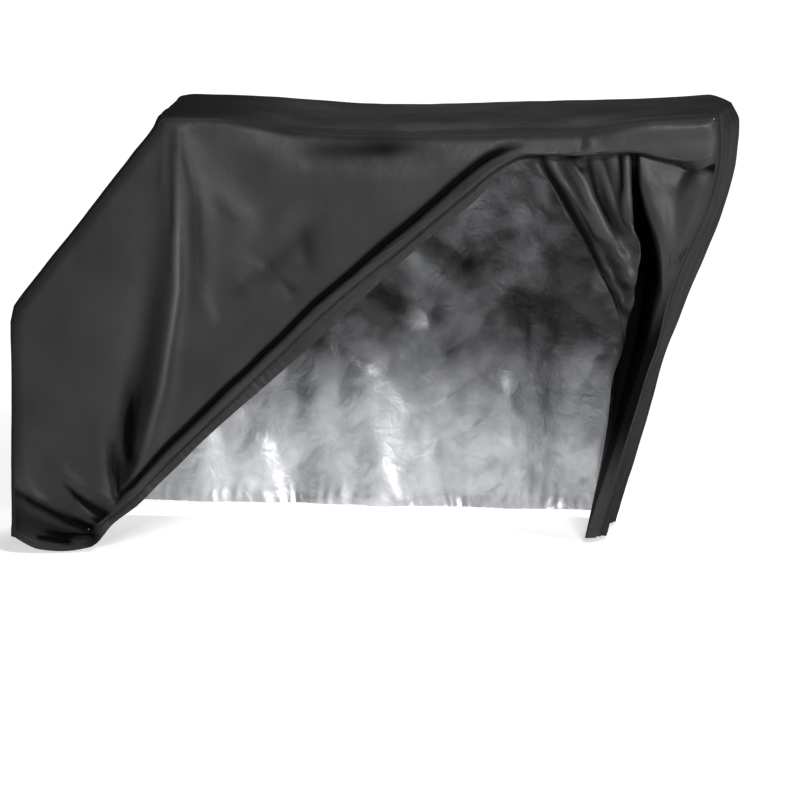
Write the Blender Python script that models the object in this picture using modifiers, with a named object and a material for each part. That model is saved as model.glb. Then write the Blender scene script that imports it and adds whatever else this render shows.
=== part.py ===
"""Fitted cover of thin coated cloth, hanging as it does with one side lifted.

Three cut pieces are sewn into it: two side panels and one long centre strip
that runs up the rear end, along the top and down the front end. The near side
is turned under and over again along a slanting line, so its hem climbs from
the rear foot to the top front, and the cloth left over hangs there in folds.

Metres. +X runs to the front end, +Y to the far side, +Z up. The origin is the
spot under the middle of the top where what is covered holds the cloth up.
"""
from collections import namedtuple

import bpy
import numpy as np

# --- driving sizes ----------------------------------------------------------
WIDTH = 0.72              # across the two side panels
CLOTH = 0.002             # thickness of every sheet
SHOULDER = 0.038          # radius where a side turns into the centre strip
SEAM_GAP = 0.0007         # between the sewn pieces, along the shoulder
SEAM_ANGLE = 45.0         # the seam's place on the shoulder, in degrees
SLUMP = 0.022             # how far the near shoulder gives way in the middle
SLUMP_REACH = 0.075       # and how far round it that is felt
SLUMP_FROM, SLUMP_TO, SLUMP_FADE = -0.45, 0.66, 0.20
HOLD_HEIGHT = 1.1037      # the underside of the top above the floor, at the origin

LAP_RADIUS = 0.009        # of both turns of the tucked-under edge
LAP_FULL = 0.020          # a lap this tall makes both turns complete
LAP_STEP = 0.006          # spacing of those rows where nothing is turned under
LAP_SHARE = 0.6           # or this share of the way to a nearby hem, for all of them
FAN_LINES = 5             # lines between the last deep fold and the front seam
FAN_ROWS = 3              # rows over which those lines close up behind the seam

REAR_X = -0.985           # the rear end hangs straight down
REAR_HEM = 0.045          # height of its hem
REAR_ARC = 0.040          # where its top starts to round into the slope, below the corner
SHOULDER_MASK = 0.09      # folds fade out over this much beside a seam
HANG_START = 0.34         # ahead of this the turned-under cloth hangs straight down
BUNCH_DEPTH = 0.080       # its ridges fade out towards this depth behind the side

HALF = WIDTH / 2
INSET = SHOULDER * (1 - np.cos(np.radians(SEAM_ANGLE)))

# --- tables of sections -----------------------------------------------------
# The top line of both sides, from the rear foot of the slope to the front corner.
TopRow = namedtuple("TopRow", "x height")
TOP_LINE = (
    TopRow(-0.975, 0.640),
    TopRow(-0.955, 0.668),
    TopRow(-0.615, 1.101),
    TopRow(-0.596, 1.133),
    TopRow(-0.560, 1.138),
    TopRow(-0.280, 1.131),
    TopRow(-0.190, 1.117),
    TopRow(0.020, 1.113),
    TopRow(0.400, 1.122),
    TopRow(0.620, 1.130),
    TopRow(0.820, 1.141),
    TopRow(0.865, 1.120),
)
NEAR_SETBACK_START = 0.60  # ahead of this the near top line drops back

# The front end leans back as it falls, its near edge drawn in behind.
EdgeRow = namedtuple("EdgeRow", "height far_x near_x near_y")
FRONT_EDGE = (
    EdgeRow(1.120, 0.865, 0.823, -0.360),
    EdgeRow(1.070, 0.887, 0.828, -0.360),
    EdgeRow(1.048, 0.887, 0.828, -0.360),
    EdgeRow(0.990, 0.883, 0.823, -0.360),
    EdgeRow(0.900, 0.866, 0.800, -0.356),
    EdgeRow(0.820, 0.841, 0.768, -0.348),
    EdgeRow(0.730, 0.806, 0.730, -0.334),
    EdgeRow(0.640, 0.767, 0.702, -0.314),
    EdgeRow(0.560, 0.737, 0.686, -0.292),
    EdgeRow(0.460, 0.697, 0.654, -0.262),
    EdgeRow(0.360, 0.667, 0.626, -0.228),
    EdgeRow(0.250, 0.634, 0.594, -0.188),
    EdgeRow(0.130, 0.598, 0.560, -0.142),
    EdgeRow(0.015, 0.563, 0.526, -0.100),
)

# Vertical lines of cloth in the near side: where each starts on the top line,
# where it turns under, how tall the lap is, what share of its depth it has,
# where its hem lies, how far in the hem is, the number of grid columns from the
# line before, and the way down of the lines that hang in deep folds.
Line = namedtuple("Line", "top_x fold_x fold_z lap tuck end_x end_z end_in steps route")
BUNCH = ((0.99, 0.594, -0.335), (0.90, 0.598, -0.345), (0.83, 0.610, -0.350),
         (0.79, 0.632, -0.352), (0.76, 0.620, -0.348), (0.68, 0.611, -0.335),
         (0.64, 0.598, -0.325), (0.56, 0.585, -0.300))
VALLEY = ((0.99, 0.600, -0.295), (0.90, 0.598, -0.215), (0.82, 0.606, -0.160),
          (0.73, 0.606, -0.130), (0.64, 0.597, -0.115), (0.56, 0.587, -0.110),
          (0.48, 0.570, -0.113), (0.42, 0.555, -0.125))
VALLEY_WALL = ((0.99, 0.613, -0.295), (0.90, 0.618, -0.215), (0.82, 0.632, -0.160),
               (0.73, 0.638, -0.130), (0.64, 0.632, -0.110), (0.56, 0.620, -0.105),
               (0.46, 0.590, -0.100), (0.32, 0.545, -0.115))
RIDGE = ((0.99, 0.625, -0.335), (0.90, 0.646, -0.345), (0.82, 0.672, -0.342),
         (0.73, 0.696, -0.333), (0.64, 0.668, -0.313), (0.56, 0.652, -0.291),
         (0.46, 0.620, -0.261), (0.25, 0.560, -0.187), (0.015, 0.488, -0.099))
NEAR_LINES = (
    Line(-0.975, REAR_X, 0.130, 0.0, 0.0, REAR_X, REAR_HEM, 0.0, 0, None),
    Line(-0.955, -0.962, 0.125, 0.0, 0.0, -0.962, 0.038, 0.002, 1, None),
    Line(-0.900, -0.925, 0.098, 0.0, 0.2, -0.915, 0.014, 0.014, 2, None),
    Line(-0.840, -0.865, 0.076, 0.0, 0.6, -0.850, 0.006, 0.030, 2, None),
    Line(-0.780, -0.800, 0.062, 0.0, 1.0, -0.788, 0.014, 0.038, 3, None),
    Line(-0.720, -0.735, 0.103, 0.010, 1.0, -0.722, 0.080, 0.036, 2, None),
    Line(-0.660, -0.680, 0.150, 0.018, 1.0, -0.662, 0.126, 0.036, 2, None),
    Line(-0.615, -0.625, 0.205, 0.028, 1.0, -0.606, 0.182, 0.036, 2, None),
    Line(-0.596, -0.575, 0.260, 0.035, 1.0, -0.550, 0.236, 0.036, 1, None),
    Line(-0.560, -0.530, 0.304, 0.040, 1.0, -0.507, 0.280, 0.036, 1, None),
    Line(-0.360, -0.304, 0.522, 0.045, 1.0, -0.272, 0.490, 0.036, 3, None),
    Line(-0.240, -0.160, 0.660, 0.045, 1.0, -0.125, 0.622, 0.036, 2, None),
    Line(-0.100, 0.016, 0.805, 0.045, 1.0, 0.040, 0.778, 0.036, 3, None),
    Line(0.080, 0.170, 0.935, 0.045, 1.0, 0.195, 0.906, 0.034, 2, None),
    Line(0.220, 0.282, 1.025, 0.045, 1.0, 0.306, 0.996, 0.030, 2, None),
    Line(0.300, 0.335, 1.049, 0.045, 1.0, 0.380, 0.972, 0.030, 2, None),
    Line(0.380, 0.420, 1.049, 0.045, 1.0, 0.438, 0.880, 0.026, 3, None),
    Line(0.460, 0.500, 1.049, 0.045, 1.0, 0.511, 0.755, 0.022, 4, None),
    Line(0.540, 0.560, 1.052, 0.045, 1.0, 0.562, 0.655, 0.026, 3, None),
    Line(0.590, 0.592, 1.053, 0.045, 1.0, 0.585, 0.560, 0.0, 2, BUNCH),
    Line(0.612, 0.603, 1.052, 0.045, 1.0, 0.555, 0.420, 0.0, 3, VALLEY),
    Line(0.630, 0.614, 1.051, 0.045, 1.0, 0.545, 0.320, 0.0, 1, VALLEY_WALL),
    Line(0.650, 0.624, 1.050, 0.045, 1.0, 0.488, 0.015, 0.0, 3, RIDGE),
    Line(0.690, 0.670, 1.038, 0.040, 1.0, 0.494, 0.015, 0.0, 2, None),
    Line(0.718, 0.704, 1.030, 0.012, 1.0, 0.498, 0.015, 0.0, 1, None),
    Line(0.745, 0.745, 1.024, 0.0, 1.0, 0.503, 0.015, 0.0, 2, None),
    Line(0.770, 0.778, 1.028, 0.0, 0.0, 0.506, 0.015, 0.0, 1, None),
    Line(0.800, 0.806, 1.040, 0.0, 0.0, 0.514, 0.015, 0.0, 1, None),
    Line(0.823, 0.828, 1.048, 0.0, 0.0, 0.526, 0.015, 0.0, 1, None),
)

# Soft ridges (+) and troughs (-) of a side panel: the width of each, and the points
# of its line as (x, height, how far out it stands).
Fold = namedtuple("Fold", "width points")
NEAR_FOLDS = (
    # the long ridge and the troughs beside it
    Fold(0.031, ((-0.550, 1.090, 0.006), (-0.556, 0.765, 0.018), (-0.604, 0.405, 0.022),
                 (-0.670, 0.190, 0.014), (-0.692, 0.125, 0.004))),
    Fold(0.032, ((-0.618, 0.800, -0.002), (-0.640, 0.560, -0.014), (-0.670, 0.400, -0.020),
                 (-0.692, 0.249, -0.020), (-0.706, 0.180, -0.006))),
    Fold(0.020, ((-0.728, 0.330, -0.004), (-0.720, 0.230, -0.014), (-0.714, 0.150, -0.010))),
    # the triangular facet: a crest along its left side and a trough along its right
    Fold(0.031, ((-0.535, 1.080, 0.004), (-0.495, 0.900, 0.014), (-0.492, 0.690, 0.010),
                 (-0.490, 0.590, 0.0))),
    Fold(0.045, ((-0.490, 1.040, -0.002), (-0.400, 0.965, -0.010), (-0.330, 0.895, -0.012),
                 (-0.350, 0.780, -0.008), (-0.375, 0.690, 0.0))),
    # the dents below the top and above the cuff
    Fold(0.045, ((-0.300, 1.035, 0.0), (-0.200, 1.036, -0.006), (-0.030, 1.040, -0.012),
                 (0.040, 1.046, -0.010), (0.130, 1.055, 0.0))),
    Fold(0.035, ((-0.160, 0.915, 0.0), (-0.230, 0.855, -0.010), (-0.320, 0.765, -0.012),
                 (-0.390, 0.700, 0.0))),
    # the rear bag
    Fold(0.022, ((-0.960, 0.210, -0.003), (-0.880, 0.142, -0.010), (-0.800, 0.075, -0.014),
                 (-0.770, 0.055, -0.008))),
    Fold(0.018, ((-0.950, 0.125, -0.003), (-0.880, 0.087, -0.008), (-0.810, 0.050, -0.010))),
    Fold(0.024, ((-0.870, 0.240, 0.003), (-0.820, 0.162, 0.010), (-0.770, 0.085, 0.014),
                 (-0.750, 0.060, 0.006))),
)
BUNCH_FOLDS = (
    Fold(0.016, ((0.349, 1.031, 0.0), (0.36, 1.01, 0.0084), (0.56, 0.64, 0.014), (0.571, 0.619, 0.0))),
    Fold(0.018, ((0.398, 1.044, 0.0), (0.41, 1.02, -0.0128), (0.58, 0.68, -0.016), (0.592, 0.656, 0.0))),
    Fold(0.02, ((0.447, 1.047, 0.0), (0.46, 1.02, 0.016), (0.6, 0.72, 0.016), (0.613, 0.693, 0.0))),
    Fold(0.016, ((0.522, 1.042, 0.0), (0.53, 1.02, -0.012), (0.59, 0.86, -0.012), (0.598, 0.838, 0.0))),
    Fold(0.03, ((0.624, 1.032, 0.0), (0.64, 0.99, 0.008), (0.72, 0.78, 0.01), (0.736, 0.738, 0.0))),
    Fold(0.028, ((0.759, 1.001, 0.0), (0.75, 0.96, -0.0032), (0.71, 0.78, -0.008), (0.701, 0.739, 0.0))),
)
FAR_FOLDS = (
    Fold(0.06, ((-0.7, 0.9, 0.0), (-0.78, 0.06, 0.02), (-0.789, -0.03, 0.0))),
    Fold(0.06, ((-0.56, 1.06, -0.0), (-0.56, 0.06, -0.018), (-0.56, -0.03, 0.0))),
    Fold(0.06, ((-0.4, 1.06, 0.0022), (-0.3, 0.06, 0.022), (-0.291, -0.03, 0.0))),
    Fold(0.06, ((-0.2, 1.04, -0.0), (-0.06, 0.06, -0.02), (-0.047, -0.029, 0.0))),
    Fold(0.055, ((-0.02, 1.04, 0.002), (0.14, 0.06, 0.02), (0.153, -0.021, 0.0))),
    Fold(0.06, ((0.18, 1.04, -0.0), (0.29, 0.06, -0.018), (0.3, -0.029, 0.0))),
    Fold(0.06, ((0.42, 1.05, 0.0018), (0.43, 0.06, 0.018), (0.431, -0.03, 0.0))),
    Fold(0.05, ((0.64, 1.05, -0.0), (0.52, 0.1, -0.014), (0.511, 0.026, 0.0))),
)

# The strip dips between what holds its top up, and is gathered at both hems.
Sag = namedtuple("Sag", "x reach depth")
TOP_SAGS = (
    Sag(-0.400, 0.120, 0.006),
    Sag(-0.120, 0.200, -0.014),
    Sag(0.300, 0.160, -0.008),
    Sag(0.620, 0.140, 0.010),
)
Gather = namedtuple("Gather", "y width depth")
HEM_GATHERS = (
    Gather(-0.190, 0.045, -0.014),
    Gather(-0.060, 0.050, 0.014),
    Gather(0.080, 0.045, -0.016),
    Gather(0.220, 0.050, 0.012),
)
GATHER_TOP = 0.75         # height at which the gathers start

# --- grid sizes -------------------------------------------------------------
TOP_ROWS = (0.0, 0.009, 0.020, 0.050)   # distances of the first rows from the seam
TOP_SHARES = (0.0, 0.3, 0.5, 0.7)       # or these shares of a drop that is short
OUTER_ROWS = 9                          # rows from there to the turned edge
# Rows of the two turns, in radii inward, radii up, and shares of the lap up.
LAP_ROWS = ((1, -1, 0), (2, 0, 0), (2, 0, 1), (3, 1, 1), (4, 0, 1))
SHOULDER_STEPS = 3                      # facets of the strip's part of a shoulder
STRIP_STEPS = 8                         # facets across the rest of the strip

# --- finish -----------------------------------------------------------------
CLOTH_COLOR = (0.034, 0.035, 0.037, 1.0)
CLOTH_ROUGHNESS = 0.45


def smooth(value):
    """0 to 1 with level ends."""
    value = np.clip(value, 0.0, 1.0)
    return value * value * (3 - 2 * value)


def top_height(x):
    return np.interp(x, [row.x for row in TOP_LINE], [row.height for row in TOP_LINE])


def edge_value(height, field):
    """A column of FRONT_EDGE at any height."""
    rows = FRONT_EDGE[::-1]
    return np.interp(height, [row.height for row in rows], [getattr(row, field) for row in rows])


def column_stations():
    """Where each grid column lies: (the line before it, its share of the way to the next)."""
    stations = [(0, 0.0)]
    for index, line in enumerate(NEAR_LINES[1:]):
        stations += [(index, (step + 1) / line.steps) for step in range(line.steps)]
    return stations


def top_points(side):
    """The top line of one side, straight between the lines: a point for each grid column."""
    far_end = TOP_LINE[-1].x
    near_end = NEAR_LINES[-1].top_x
    corners = []
    for line in NEAR_LINES:
        reach = smooth((line.top_x - NEAR_SETBACK_START) / (near_end - NEAR_SETBACK_START))
        far_x = line.top_x + (far_end - near_end) * reach
        x = line.top_x if side < 0 else far_x
        corners.append(np.array([x, top_height(x)]))
    return [corners[index] + (corners[index + 1] - corners[index]) * share
            for index, share in column_stations()]


def outline(side):
    """The seam line of one side, hem to hem, and the indices of its two corners."""
    top = top_points(side)
    rear = [(REAR_X, z) for z in np.linspace(REAR_HEM, top[0][1] - REAR_ARC, len(FRONT_EDGE) - 1)]
    field = "near_x" if side < 0 else "far_x"
    front = [(getattr(row, field), row.height) for row in FRONT_EDGE[1:]]
    return np.array(rear + top + front), len(rear), len(rear) + len(top) - 1


def inward_normals(points):
    """Mitred normals that point into the panel, scaled to keep the offset even."""
    steps = np.diff(points, axis=0)
    steps /= np.linalg.norm(steps, axis=1)[:, None]
    before = np.vstack([steps[:1], steps])
    after = np.vstack([steps, steps[-1:]])
    along = before + after
    along /= np.linalg.norm(along, axis=1)[:, None]
    scale = 1 / np.einsum("ij,ij->i", along, before)
    return np.stack([along[:, 1], -along[:, 0]], axis=1) * scale[:, None]


def seam_distance(x, z, seam):
    """Distance of a point of the side's plane from its seam line."""
    start, step = seam[:-1], np.diff(seam, axis=0)
    offset = np.array([x, z]) - start
    share = np.clip(np.einsum("ij,ij->i", offset, step) / np.einsum("ij,ij->i", step, step), 0, 1)
    return np.min(np.linalg.norm(offset - step * share[:, None], axis=1))


def shoulder_inset(distance):
    """How far the rounded shoulder draws the cloth in, that near its seam."""
    short = np.clip(SHOULDER - distance, 0.0, SHOULDER)
    return SHOULDER - np.sqrt(SHOULDER ** 2 - short ** 2)


def fold_offset(x, z, folds):
    """Sum of the ridges and troughs at a point, outward."""
    total = 0.0
    spot = np.array([x, z])
    for fold in folds:
        heights = []
        for first, last in zip(np.array(fold.points), np.array(fold.points[1:])):
            run = last[:2] - first[:2]
            offset = spot - first[:2]
            share = np.clip(offset @ run / (run @ run), 0.0, 1.0)
            away = np.linalg.norm(offset - run * share)
            depth = first[2] + (last[2] - first[2]) * share
            heights.append(depth * np.exp(-(away / fold.width) ** 2))
        total += max(heights, key=abs)
    return total


def lap_rows(line, fold, end):
    """The turned-under rows of one line: (x, z, inward)."""
    run = np.linalg.norm(end - fold)
    down = np.array([0.0, -1.0]) if line.fold_x > HANG_START else (end - fold) / run
    step = min(LAP_STEP, LAP_SHARE * run / len(LAP_ROWS))
    full = smooth(line.lap / LAP_FULL)
    deepest = LAP_ROWS[-1][0]
    rows = []
    for index, (inward, up, share) in enumerate(LAP_ROWS, start=1):
        plain_in = deepest * index / len(LAP_ROWS)
        rise = (up * LAP_RADIUS + share * line.lap) * full - index * step * (1 - full)
        spot = fold - down * rise
        depth = (plain_in + (inward - plain_in) * full) * LAP_RADIUS * line.tuck
        rows.append((spot[0], spot[1], depth))
    return rows


def hang_rows(line, start, level, heights):
    """The rows below the lap of one line: (x, y, z)."""
    first = np.array([start[0], level + start[2], start[1]])
    end = np.array([line.end_x, level + line.end_in, line.end_z])
    rows = []
    for share in heights:
        if line.route is None:
            point = first + (end - first) * share
        else:
            z = first[2] + (line.end_z - first[2]) * share
            table = sorted(line.route + ((first[2], first[0], first[1]),))
            point = np.array([np.interp(z, [row[0] for row in table], [row[1] for row in table]),
                              np.interp(z, [row[0] for row in table], [row[2] for row in table]), z])
        rows.append(point)
    return rows


def front_shares():
    """Shares of the drop below the lap at which the front edge has its corners."""
    fold = NEAR_LINES[-1].fold_z
    first = fold - len(LAP_ROWS) * LAP_STEP
    last = FRONT_EDGE[-1].height
    return [(first - row.height) / (first - last) for row in FRONT_EDGE if row.height < first]


def outer_drop(start, fold):
    """Rows from the seam down to the turned edge, close together at the shoulder."""
    run = fold - start
    length = np.linalg.norm(run)
    near_rows = [min(distance / length, share) for distance, share in zip(TOP_ROWS, TOP_SHARES)]
    rest = near_rows[-1] + (1 - near_rows[-1]) * np.arange(1, OUTER_ROWS + 1) / OUTER_ROWS
    return [start + run * share for share in near_rows + list(rest)]


def near_columns():
    """The near side's cloth, line by line: a list of equal lists of (x, y, z)."""
    seam, first, last = outline(-1)
    inner = seam + inward_normals(seam) * (INSET + SEAM_GAP / 2)
    tops = inner[first:last + 1]
    stations = column_stations()
    key_columns = []
    shares = front_shares()
    for index, line in enumerate(NEAR_LINES):
        top = tops[[s[0] + s[1] for s in stations].index(index)]
        fold = np.array([line.fold_x, line.fold_z])
        end = np.array([line.end_x, line.end_z])
        if index == 0:
            fold[0] = end[0] = REAR_X + INSET + SEAM_GAP / 2
        column = [np.array([x, -HALF, z]) for x, z in outer_drop(top, fold)]
        lap = lap_rows(line, fold, end)
        column += [np.array([x, -HALF + inward, z]) for x, z, inward in lap]
        if index == 0:
            line = line._replace(end_x=end[0])
        column += hang_rows(line, lap[-1], -HALF, shares)
        key_columns.append(column)
    place_front_edge(key_columns, inner, last, len(shares))
    return key_columns


def place_front_edge(key_columns, inner, last, count):
    """Puts the last lines on the front end's seam and fans the others behind it."""
    edge = key_columns[-1]
    corner = inner[last:]
    heights = corner[:, 1][::-1]
    for row, point in enumerate(edge):
        point[0] = np.interp(point[2], heights, corner[:, 0][::-1])
        point[1] = edge_value(point[2], "near_y")
    ridge = key_columns[-FAN_LINES - 2]
    for offset in range(2, FAN_LINES + 2):
        share = 1 - (offset - 1) / (FAN_LINES + 1)
        column = key_columns[-offset]
        for row in range(len(edge) - count, len(edge)):
            blend = smooth((row - (len(edge) - count) + 1) / FAN_ROWS)
            target = ridge[row] + (edge[row] - ridge[row]) * share
            column[row] = column[row] + (target - column[row]) * blend


def spread_columns(key_columns):
    """Grid columns between the lines, sideways straight and in depth rounded."""
    columns = []
    for index, share in column_stations():
        before, after = np.array(key_columns[index]), np.array(key_columns[index + 1])
        column = before + (after - before) * share
        column[:, 1] = before[:, 1] + (after[:, 1] - before[:, 1]) * (share + smooth(share)) / 2
        columns.append(column)
    return columns


def shape_near(columns):
    """Adds the shoulder and the soft folds to the near side's grid."""
    seam, _, _ = outline(-1)
    lap_start = len(TOP_ROWS) + OUTER_ROWS
    for column in columns:
        turned = column[lap_start - 1]
        at_fold = fold_offset(turned[0], turned[2], NEAR_FOLDS)
        at_fold *= smooth(seam_distance(turned[0], turned[2], seam) / SHOULDER_MASK)
        for row, point in enumerate(column):
            distance = seam_distance(point[0], point[2], seam)
            free = smooth((distance - INSET) / SHOULDER_MASK)
            if row < lap_start:
                push = fold_offset(point[0], point[2], NEAR_FOLDS) * free
            else:
                push = at_fold
                if point[0] > HANG_START:
                    outside = smooth((BUNCH_DEPTH - HALF - point[1]) / (BUNCH_DEPTH / 2))
                    push = fold_offset(point[0], point[2], BUNCH_FOLDS) * free * outside
            point[1] += shoulder_inset(distance) - push
    return columns


def far_columns():
    """The far side's cloth, a grid that fills the space between its four edges."""
    seam, first, last = outline(1)
    inner = seam + inward_normals(seam) * (INSET + SEAM_GAP / 2)
    top = inner[first:last + 1]
    left = inner[first::-1]
    right = inner[last:]
    run = np.concatenate([[0], np.cumsum(np.linalg.norm(np.diff(top, axis=0), axis=1))])
    across = run / run[-1]
    bottom = left[-1] + (right[-1] - left[-1]) * across[:, None]
    down = np.linspace(0, 1, len(left))
    columns = []
    for u, upper, lower in zip(across, top, bottom):
        column = []
        for v, rear, front in zip(down, left, right):
            spot = (1 - v) * upper + v * lower + (1 - u) * rear + u * front
            spot -= (1 - u) * ((1 - v) * top[0] + v * bottom[0]) + u * ((1 - v) * top[-1] + v * bottom[-1])
            distance = seam_distance(spot[0], spot[1], seam)
            free = smooth((distance - INSET) / SHOULDER_MASK)
            push = fold_offset(spot[0], spot[1], FAR_FOLDS) * free
            column.append((spot[0], HALF - shoulder_inset(distance) + push, spot[1]))
        columns.append(column)
    return columns


def strip_push(spot, across):
    """How far out the strip stands at a point, at a share of the way across it."""
    x, y, z = spot
    crown = np.sin(np.pi * across)
    push = sum(sag.depth * crown * np.exp(-((x - sag.x) / sag.reach) ** 2) for sag in TOP_SAGS)
    grown = smooth((GATHER_TOP - z) / GATHER_TOP)
    ripple = sum(fold.depth * np.exp(-((y - fold.y) / fold.width) ** 2) for fold in HEM_GATHERS)
    return push * smooth((z - GATHER_TOP) / (1 - GATHER_TOP)) + ripple * grown * smooth(4 * crown)


def shoulder_arc(spot, inward, level, side):
    """The strip's part of one shoulder, from its seam to its flat stretch."""
    last = np.radians(SEAM_ANGLE) - SEAM_GAP / 2 / SHOULDER
    row = []
    for angle in np.linspace(last, 0, SHOULDER_STEPS + 1):
        place = spot + inward * SHOULDER * (1 - np.cos(angle))
        row.append(np.array([place[0], level - side * SHOULDER * (1 - np.sin(angle)), place[1]]))
    return row


def strip_rows():
    """The centre strip: a row across it for each point of the seam line."""
    near, far = outline(-1)[0], outline(1)[0]
    near_in, far_in = inward_normals(near), inward_normals(far)
    rows = []
    for near_spot, far_spot, near_way, far_way in zip(near, far, near_in, far_in):
        level = edge_value(near_spot[1], "near_y") if near_spot[0] > 0 else -HALF
        left = shoulder_arc(near_spot, near_way, level, -1)
        right = shoulder_arc(far_spot, far_way, HALF, 1)[::-1]
        outward = -np.array([far_way[0], 0.0, far_way[1]])
        flat = []
        for step in range(1, STRIP_STEPS):
            across = step / STRIP_STEPS
            spot = left[-1] + (right[0] - left[-1]) * across
            flat.append(spot + outward * strip_push(spot, across))
        rows.append(left + flat + right)
    return rows


def slumped(x, y, z):
    """The near shoulder gives way between what holds the top up at its two ends."""
    middle = smooth((x - SLUMP_FROM) / SLUMP_FADE) * smooth((SLUMP_TO - x) / SLUMP_FADE)
    away = (y + HALF) ** 2 + (z - top_height(x)) ** 2
    drop = SLUMP * middle * np.exp(-away / SLUMP_REACH ** 2)
    return x, y + drop, z - drop


def cloth_material(name):
    material = bpy.data.materials.new(name)
    material.use_nodes = True
    shader = material.node_tree.nodes["Principled BSDF"]
    shader.inputs["Base Color"].default_value = CLOTH_COLOR
    shader.inputs["Roughness"].default_value = CLOTH_ROUGHNESS
    material.diffuse_color = CLOTH_COLOR
    return material


def sheet(name, grid, collection):
    """A sheet of cloth through a grid of points, given its thickness by Solidify."""
    count = len(grid[0])
    hung = [slumped(*point) for line in grid for point in line]
    points = [(x, y, z - HOLD_HEIGHT) for x, y, z in hung]
    faces = []
    for line in range(len(grid) - 1):
        for spot in range(count - 1):
            corner = line * count + spot
            faces.append((corner, corner + 1, corner + count + 1, corner + count))
    mesh = bpy.data.meshes.new(name)
    mesh.from_pydata(points, [], faces)
    mesh.materials.append(cloth_material(name))
    piece = bpy.data.objects.new(name, mesh)
    solidify = piece.modifiers.new("Thickness", "SOLIDIFY")
    solidify.thickness = CLOTH
    solidify.offset = 0.0
    collection.objects.link(piece)
    return piece


def main():
    for item in list(bpy.data.objects):
        bpy.data.objects.remove(item, do_unlink=True)
    collection = bpy.data.collections.new("cover")
    bpy.context.scene.collection.children.link(collection)
    sheet("side_panel_near", shape_near(spread_columns(near_columns())), collection)
    sheet("side_panel_far", far_columns(), collection)
    sheet("centre_strip", strip_rows(), collection)


main()
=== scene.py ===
# %% [markdown]
# # A cover with one side lifted
# The cover is three cut pieces of thin coated cloth: two sides and one long strip between them.
# Each becomes a grid of points that hangs as the cloth does, and the grid gets an outer black
# face, an inner silver face and an edge between them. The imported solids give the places.

# %% Load the frame
import math
from collections import namedtuple

import bpy
import numpy as np
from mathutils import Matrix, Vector, noise


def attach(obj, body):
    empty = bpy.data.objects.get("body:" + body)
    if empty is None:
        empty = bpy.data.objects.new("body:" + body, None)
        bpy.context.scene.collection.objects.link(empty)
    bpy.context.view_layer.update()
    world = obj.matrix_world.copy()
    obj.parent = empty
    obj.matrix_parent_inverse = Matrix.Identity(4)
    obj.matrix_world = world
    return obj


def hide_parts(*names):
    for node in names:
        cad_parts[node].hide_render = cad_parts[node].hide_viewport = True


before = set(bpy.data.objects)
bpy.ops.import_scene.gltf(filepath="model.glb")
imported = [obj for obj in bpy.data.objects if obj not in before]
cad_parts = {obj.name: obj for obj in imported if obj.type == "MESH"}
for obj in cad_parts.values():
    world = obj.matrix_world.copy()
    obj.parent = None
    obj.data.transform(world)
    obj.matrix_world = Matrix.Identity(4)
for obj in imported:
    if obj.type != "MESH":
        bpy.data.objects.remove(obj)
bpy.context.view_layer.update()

# %% [markdown]
# ## Camera
# The picture was taken from far away and nearly side-on, so a long lens keeps the lines parallel.

# %% Camera
FLOOR = -1.1037           # the floor, below the origin under the top


def place_camera(spot, aim, lens):
    data = bpy.data.cameras.new("view")
    data.lens = lens
    data.clip_end = 60.0
    camera = bpy.data.objects.new("view", data)
    camera.location = spot
    camera.rotation_euler = (Vector(aim) - Vector(spot)).to_track_quat("-Z", "Y").to_euler()
    bpy.context.scene.collection.objects.link(camera)
    bpy.context.scene.camera = camera


place_camera(spot=(0.6107, -13.9867, 1.0663), aim=(0.0, 0.0, -0.7421), lens=242.55)
print("camera at", [round(value, 2) for value in bpy.context.scene.camera.location])

# %% [markdown]
# ## Shader maths
# Materials are written as sums: this small class wraps a socket of a node tree, and an
# expression on such values adds the Math nodes it needs.

# %% Shader maths
COLOR_A, COLOR_B, COLOR_MIXED = 6, 7, 2    # a Mix node's sockets for colours
OBJECT_SPACE = 3                           # a Texture Coordinate node's output
FACTOR = 2                                 # an Attribute node's output for plain numbers


class Value:
    """A number that varies over the surface: an output socket with arithmetic."""

    def __init__(self, tree, socket):
        self.tree, self.socket = tree, socket

    def node(self, kind, settings=None, **inputs):
        node = self.tree.nodes.new(kind)
        for name, setting in (settings or {}).items():
            if name == "ramp":
                while len(node.color_ramp.elements) < len(setting):
                    node.color_ramp.elements.new(1.0)
                for element, (position, color) in zip(node.color_ramp.elements, setting):
                    element.position, element.color = position, (*color, 1.0)
            else:
                setattr(node, name, setting)
        for name, value in inputs.items():
            key = int(name[1:]) if name[0] == "i" and name[1:].isdigit() else name.replace("_", " ")
            socket = node.inputs[key]
            if isinstance(value, Value):
                self.tree.links.new(value.socket, socket)
            else:
                socket.default_value = value
        return node

    def out(self, kind, settings=None, output=0, **inputs):
        return Value(self.tree, self.node(kind, settings, **inputs).outputs[output])

    def math(self, operation, first, second=0.0):
        return self.out("ShaderNodeMath", {"operation": operation}, i0=first, i1=second)

    def __add__(self, other):
        return self.math("ADD", self, other)

    def __radd__(self, other):
        return self.math("ADD", other, self)

    def __sub__(self, other):
        return self.math("SUBTRACT", self, other)

    def __rsub__(self, other):
        return self.math("SUBTRACT", other, self)

    def __mul__(self, other):
        return self.math("MULTIPLY", self, other)

    def __rmul__(self, other):
        return self.math("MULTIPLY", other, self)

    def ramp(self, low, high):
        """0 at low and 1 at high."""
        return self.out("ShaderNodeMapRange", Value=self, From_Min=low, From_Max=high)


def mix_colors(share, first, second):
    mix = share.node("ShaderNodeMix", {"data_type": "RGBA"}, i0=share)
    for index, value in ((COLOR_A, first), (COLOR_B, second)):
        if isinstance(value, Value):
            mix.id_data.links.new(value.socket, mix.inputs[index])
        else:
            mix.inputs[index].default_value = (*value, 1.0)
    return Value(share.tree, mix.outputs[COLOR_MIXED])


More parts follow.
